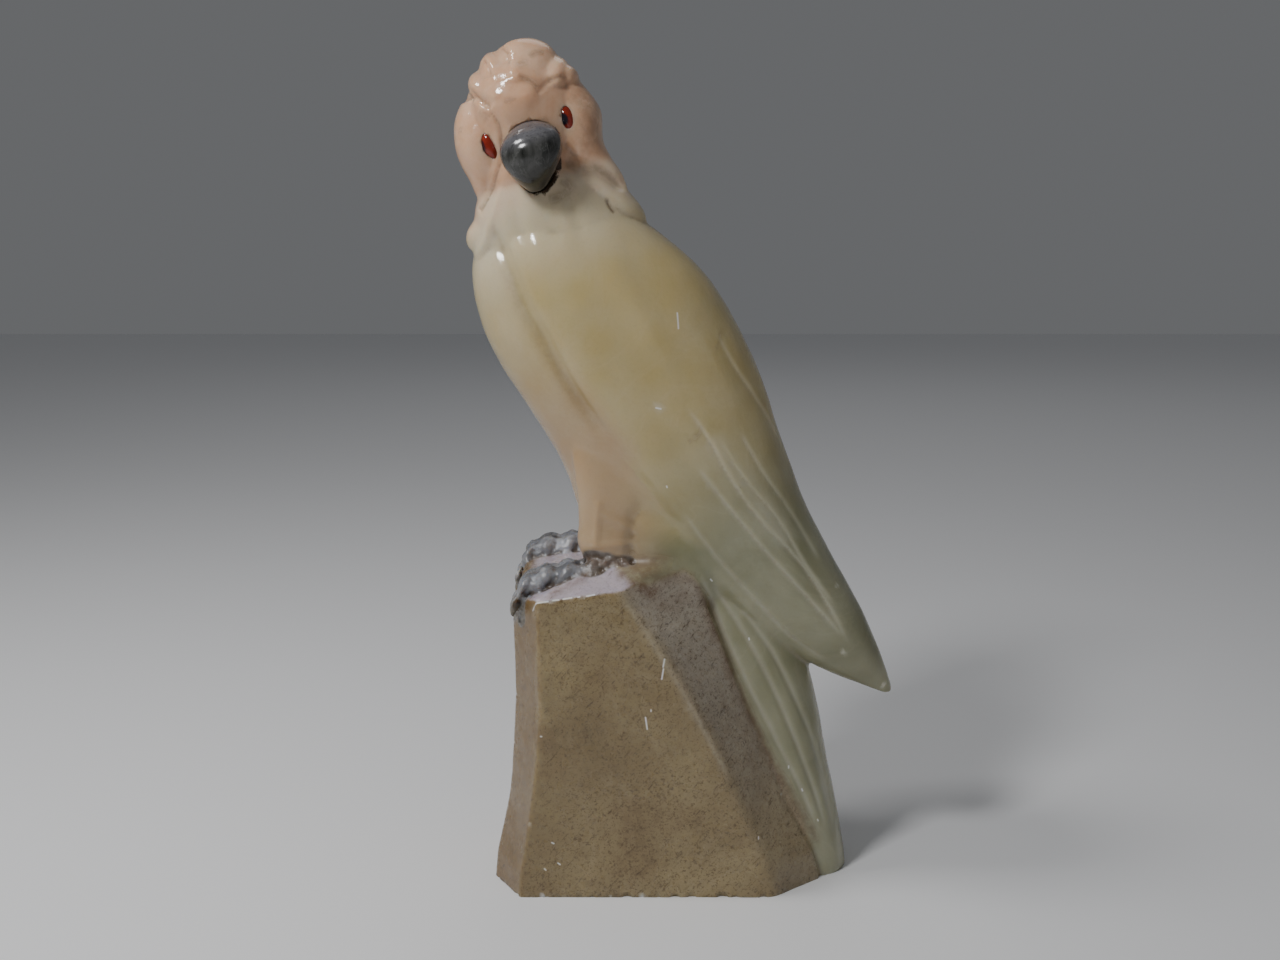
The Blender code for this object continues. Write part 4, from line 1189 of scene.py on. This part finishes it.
def onyx_material(stone, clouds_group, polish_group):
    """Pale polished onyx, its colours placed by the fields on the vertices."""
    material, tree, shader = new_material("onyx")
    place = put(tree, "ShaderNodeTexCoord").outputs["Object"]
    large = clouds_at(tree, clouds_group, place, 26.0, 22.0, 1500.0)
    small = clouds_at(tree, clouds_group, place, 95.0, 60.0, 900.0)
    mottle = grain(tree, place, 330.0, 6.0, 0.72)
    in_block = field(tree, "block")
    colour = blend(tree, in_block, bird_colour(tree, place, large, small),
                   block_colour(tree, large, mottle))
    # Painted sheen: pale lavender on the up-facing slanted top, the reflection of the light above.
    colour = tint(tree, colour, "chamfer_sheen", 0.9, (0.50, 0.44, 0.50))
    colour = blend(tree, times(tree, large["Veins"], 0.04), colour, (0.78, 0.70, 0.52))
    strokes = times(tree, stroke_mask(tree, place, mottle), in_block)
    colour = blend(tree, strokes, colour, (0.07, 0.04, 0.02))
    dots = calc(tree, "MAXIMUM", large["Specks"], small["Specks"])
    specks = times(tree, dots, remap(tree, in_block, 0, 1, 0.05, 0.7))
    # Fewer specks under the painted sheen.
    specks = times(tree, specks, remap(tree, field(tree, "chamfer_sheen"), 0, 1, 1.0, 0.35))
    colour = blend(tree, specks, colour, (0.09, 0.05, 0.022))
    colour = tint(tree, colour, "toes", 1.0, foot_colour(tree, small))
    # Painted shade: the hollows between the toes are darkened nearly to black.
    toe_gap_shade = times(tree, field(tree, "toes"), field(tree, "recess"))
    colour = blend(tree, times(tree, toe_gap_shade, 0.8), colour, (0.035, 0.033, 0.032))
    colour = worn_dirty_and_shaded(tree, colour, mottle)
    scratch_and_glint_mask = scratch_and_glint_masks(tree, place, stone, white_streak_group())
    # White scratched marks, with painted glints among them.
    colour = blend(tree, scratch_and_glint_mask, colour, (0.92, 0.92, 0.90))
    polish = polish_at(tree, polish_group, place, 0.09, 0.12)
    dull = calc(tree, "ADD", times(tree, in_block, 0.14), times(tree, field(tree, "stain_and_shade"), 0.4))
    rough = calc(tree, "ADD", polish["Roughness"], dull)
    rugged = times(tree, times(tree, grain(tree, place, 900.0, 3.0), 3.0), field(tree, "toes"))
    relief = calc(tree, "ADD", polish["Relief"], rugged)
    tree.links.new(colour, shader.inputs["Base Color"])
    tree.links.new(rough, shader.inputs["Roughness"])
    tree.links.new(bump_of(tree, relief, 0.3, 0.0004), shader.inputs["Normal"])
    glow_within(shader, 0.5, (1.0, 0.72, 0.42), 0.004)
    shader.inputs["IOR"].default_value = 1.53
    return material


def marble_material(clouds_group, polish_group):
    """The beak: grey marble, mottled dark, darkest towards its tip."""
    material, tree, shader = new_material("grey_marble")
    place = put(tree, "ShaderNodeTexCoord").outputs["Object"]
    streaks = put(tree, "ShaderNodeMapping", {"Vector": place, "Rotation": (0.0, HEAD_ROLL, 0.0),
                                              "Scale": (1.0, 1.0, 0.42)}).outputs["Vector"]
    stone = clouds_at(tree, clouds_group, streaks, 240.0, 160.0, 1100.0)
    colour = blend(tree, stone["Clouds"], (0.012, 0.013, 0.010), (0.105, 0.104, 0.098))
    # Painted sheen: a pale lavender grey laid over the beak's top.
    colour = tint(tree, colour, "crown", 0.55, (0.14, 0.135, 0.155))
    colour = blend(tree, times(tree, stone["Veins"], 0.25), colour, (0.22, 0.22, 0.21))
    colour = tint(tree, colour, "rim", 0.85, (0.016, 0.015, 0.010))
    colour = blend(tree, times(tree, stone["Specks"], 0.5), colour, (0.015, 0.016, 0.012))
    polish = polish_at(tree, polish_group, place, 0.10, 0.16)
    tree.links.new(colour, shader.inputs["Base Color"])
    tree.links.new(polish["Roughness"], shader.inputs["Roughness"])
    tree.links.new(bump_of(tree, polish["Relief"], 0.25, 0.0003), shader.inputs["Normal"])
    shader.inputs["IOR"].default_value = 1.55
    return material


def red_glass_material(polish_group):
    """The eyes: translucent red with a black pupil, given by the field on their vertices."""
    material, tree, shader = new_material("red_glass")
    place = put(tree, "ShaderNodeTexCoord").outputs["Object"]
    mottle = grain(tree, place, 700.0, 3.0)
    red = blend(tree, mottle, (0.16, 0.009, 0.005), (0.33, 0.033, 0.012))
    colour = blend(tree, field(tree, "pupil"), red, (0.012, 0.010, 0.016))
    polish = polish_at(tree, polish_group, place, 0.06, 0.06)
    tree.links.new(colour, shader.inputs["Base Color"])
    tree.links.new(polish["Roughness"], shader.inputs["Roughness"])
    glow_within(shader, 0.3, (1.0, 0.25, 0.15), 0.001)
    return material


def beak_piece(material):
    """The beak, with fields for the painted sheen on its crown and for the dark rim where it meets the
    stone.
    """
    beak = in_scene("marble_beak", beak_mesh(0.0, 128, 96))
    beak.data.shade_smooth()
    beak.data.materials.append(material)
    place = Surface(beak.data)
    out = BEAK_PLACE[1] - place.head_y
    fall = (BEAK_PLACE[2] - place.head_z) / (BEAK_LENGTH / UNIT) + 0.5
    rim = np.maximum(ease(4.5, 1.5, out), ease(0.56, 0.9, fall))
    set_field(beak.data, "rim", rim * ease(0.12, 0.35, fall + 0.1 * place.head_x / 8))
    set_field(beak.data, "crown", ease(0.45, 0.2, fall))
    return beak


def eye_piece(name, hand, material):
    """One eye, with its pupil towards the beak."""
    eye = in_scene(name, eye_mesh(hand, 0.0))
    eye.data.shade_smooth()
    eye.data.materials.append(material)
    back = eye_place(hand).inverted()
    middle, half, strength = (-0.0017, 0.0009, 1.0) if hand > 0 else (-0.0012, 0.0008, 0.85)
    pupil = []
    for vert in eye.data.vertices:
        spot = back @ vert.co
        away = math.hypot((spot.x - middle) / half, (spot.z - 0.0002) / 0.0018)
        pupil.append(strength * float(ease(1.2, 0.75, away)) * (1.0 if spot.y < 0 else 0.0))
    set_field(eye.data, "pupil", pupil)
    return eye


# The scene

def floor_piece():
    bm = bmesh.new()
    bmesh.ops.create_grid(bm, x_segments=1, y_segments=1, size=3.0)
    floor = in_scene("floor", as_mesh(bm, "floor"))
    material, _, shader = new_material("pale floor")
    shader.inputs["Base Color"].default_value = (0.88, 0.88, 0.89, 1.0)
    shader.inputs["Roughness"].default_value = 0.85
    floor.data.materials.append(material)


def area_light(name, place, size, power, aim=(0.0, 0.0, 0.13)):
    light = bpy.data.lights.new(name, "AREA")
    light.shape = "RECTANGLE"
    light.size, light.size_y = size
    light.energy = power
    thing = in_scene(name, light)
    thing.location = place
    thing.rotation_euler = (Vector(aim) - Vector(place)).to_track_quat("-Z", "Y").to_euler()


def camera_and_lights():
    camera = bpy.data.cameras.new("camera")
    camera.lens = 40.0
    camera.sensor_width = 36.0
    camera.clip_start = 0.01
    thing = in_scene("camera", camera)
    thing.location = CAMERA_PLACE
    thing.rotation_euler = (CAMERA_PITCH, 0.0, 0.0)
    bpy.context.scene.camera = thing
    area_light("key", (-0.36, -0.38, 0.60), (0.12, 0.12), 2.6, (-0.02, 0.0, 0.15))
    area_light("ceiling", (-0.40, -0.04, 0.70), (0.12, 0.12), 1.5, (-0.02, 0.0, 0.15))
    area_light("fill", (0.70, -0.70, 0.35), (0.6, 0.6), 0.28)
    area_light("back", (0.15, 1.30, 1.50), (0.8, 0.8), 1.6)
    world = bpy.data.worlds.new("studio")
    bpy.context.scene.world = world
    world.use_nodes = True
    background = world.node_tree.nodes["Background"]
    background.inputs["Color"].default_value = (0.80, 0.82, 0.85, 1.0)
    background.inputs["Strength"].default_value = 0.17


def main():
    camera_and_lights()
    floor_piece()
    clouds_group = stone_clouds_group()
    polish_group = hand_polish_group()
    stone = carved_stone()
    beak = beak_piece(marble_material(clouds_group, polish_group))
    describe_surface(stone, beak.data)
    stone.data.materials.clear()
    stone.data.materials.append(onyx_material(stone, clouds_group, polish_group))
    glass = red_glass_material(polish_group)
    pieces = [(stone, "parrot_on_plinth", "onyx"), (beak, "beak", "grey_marble"),
              (eye_piece("red_eye_left", 1, glass), "eye_left", "red_glass"),
              (eye_piece("red_eye_right", -1, glass), "eye_right", "red_glass")]
    for piece, node, slot in pieces:
        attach(piece, "root")
        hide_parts(node)


main()
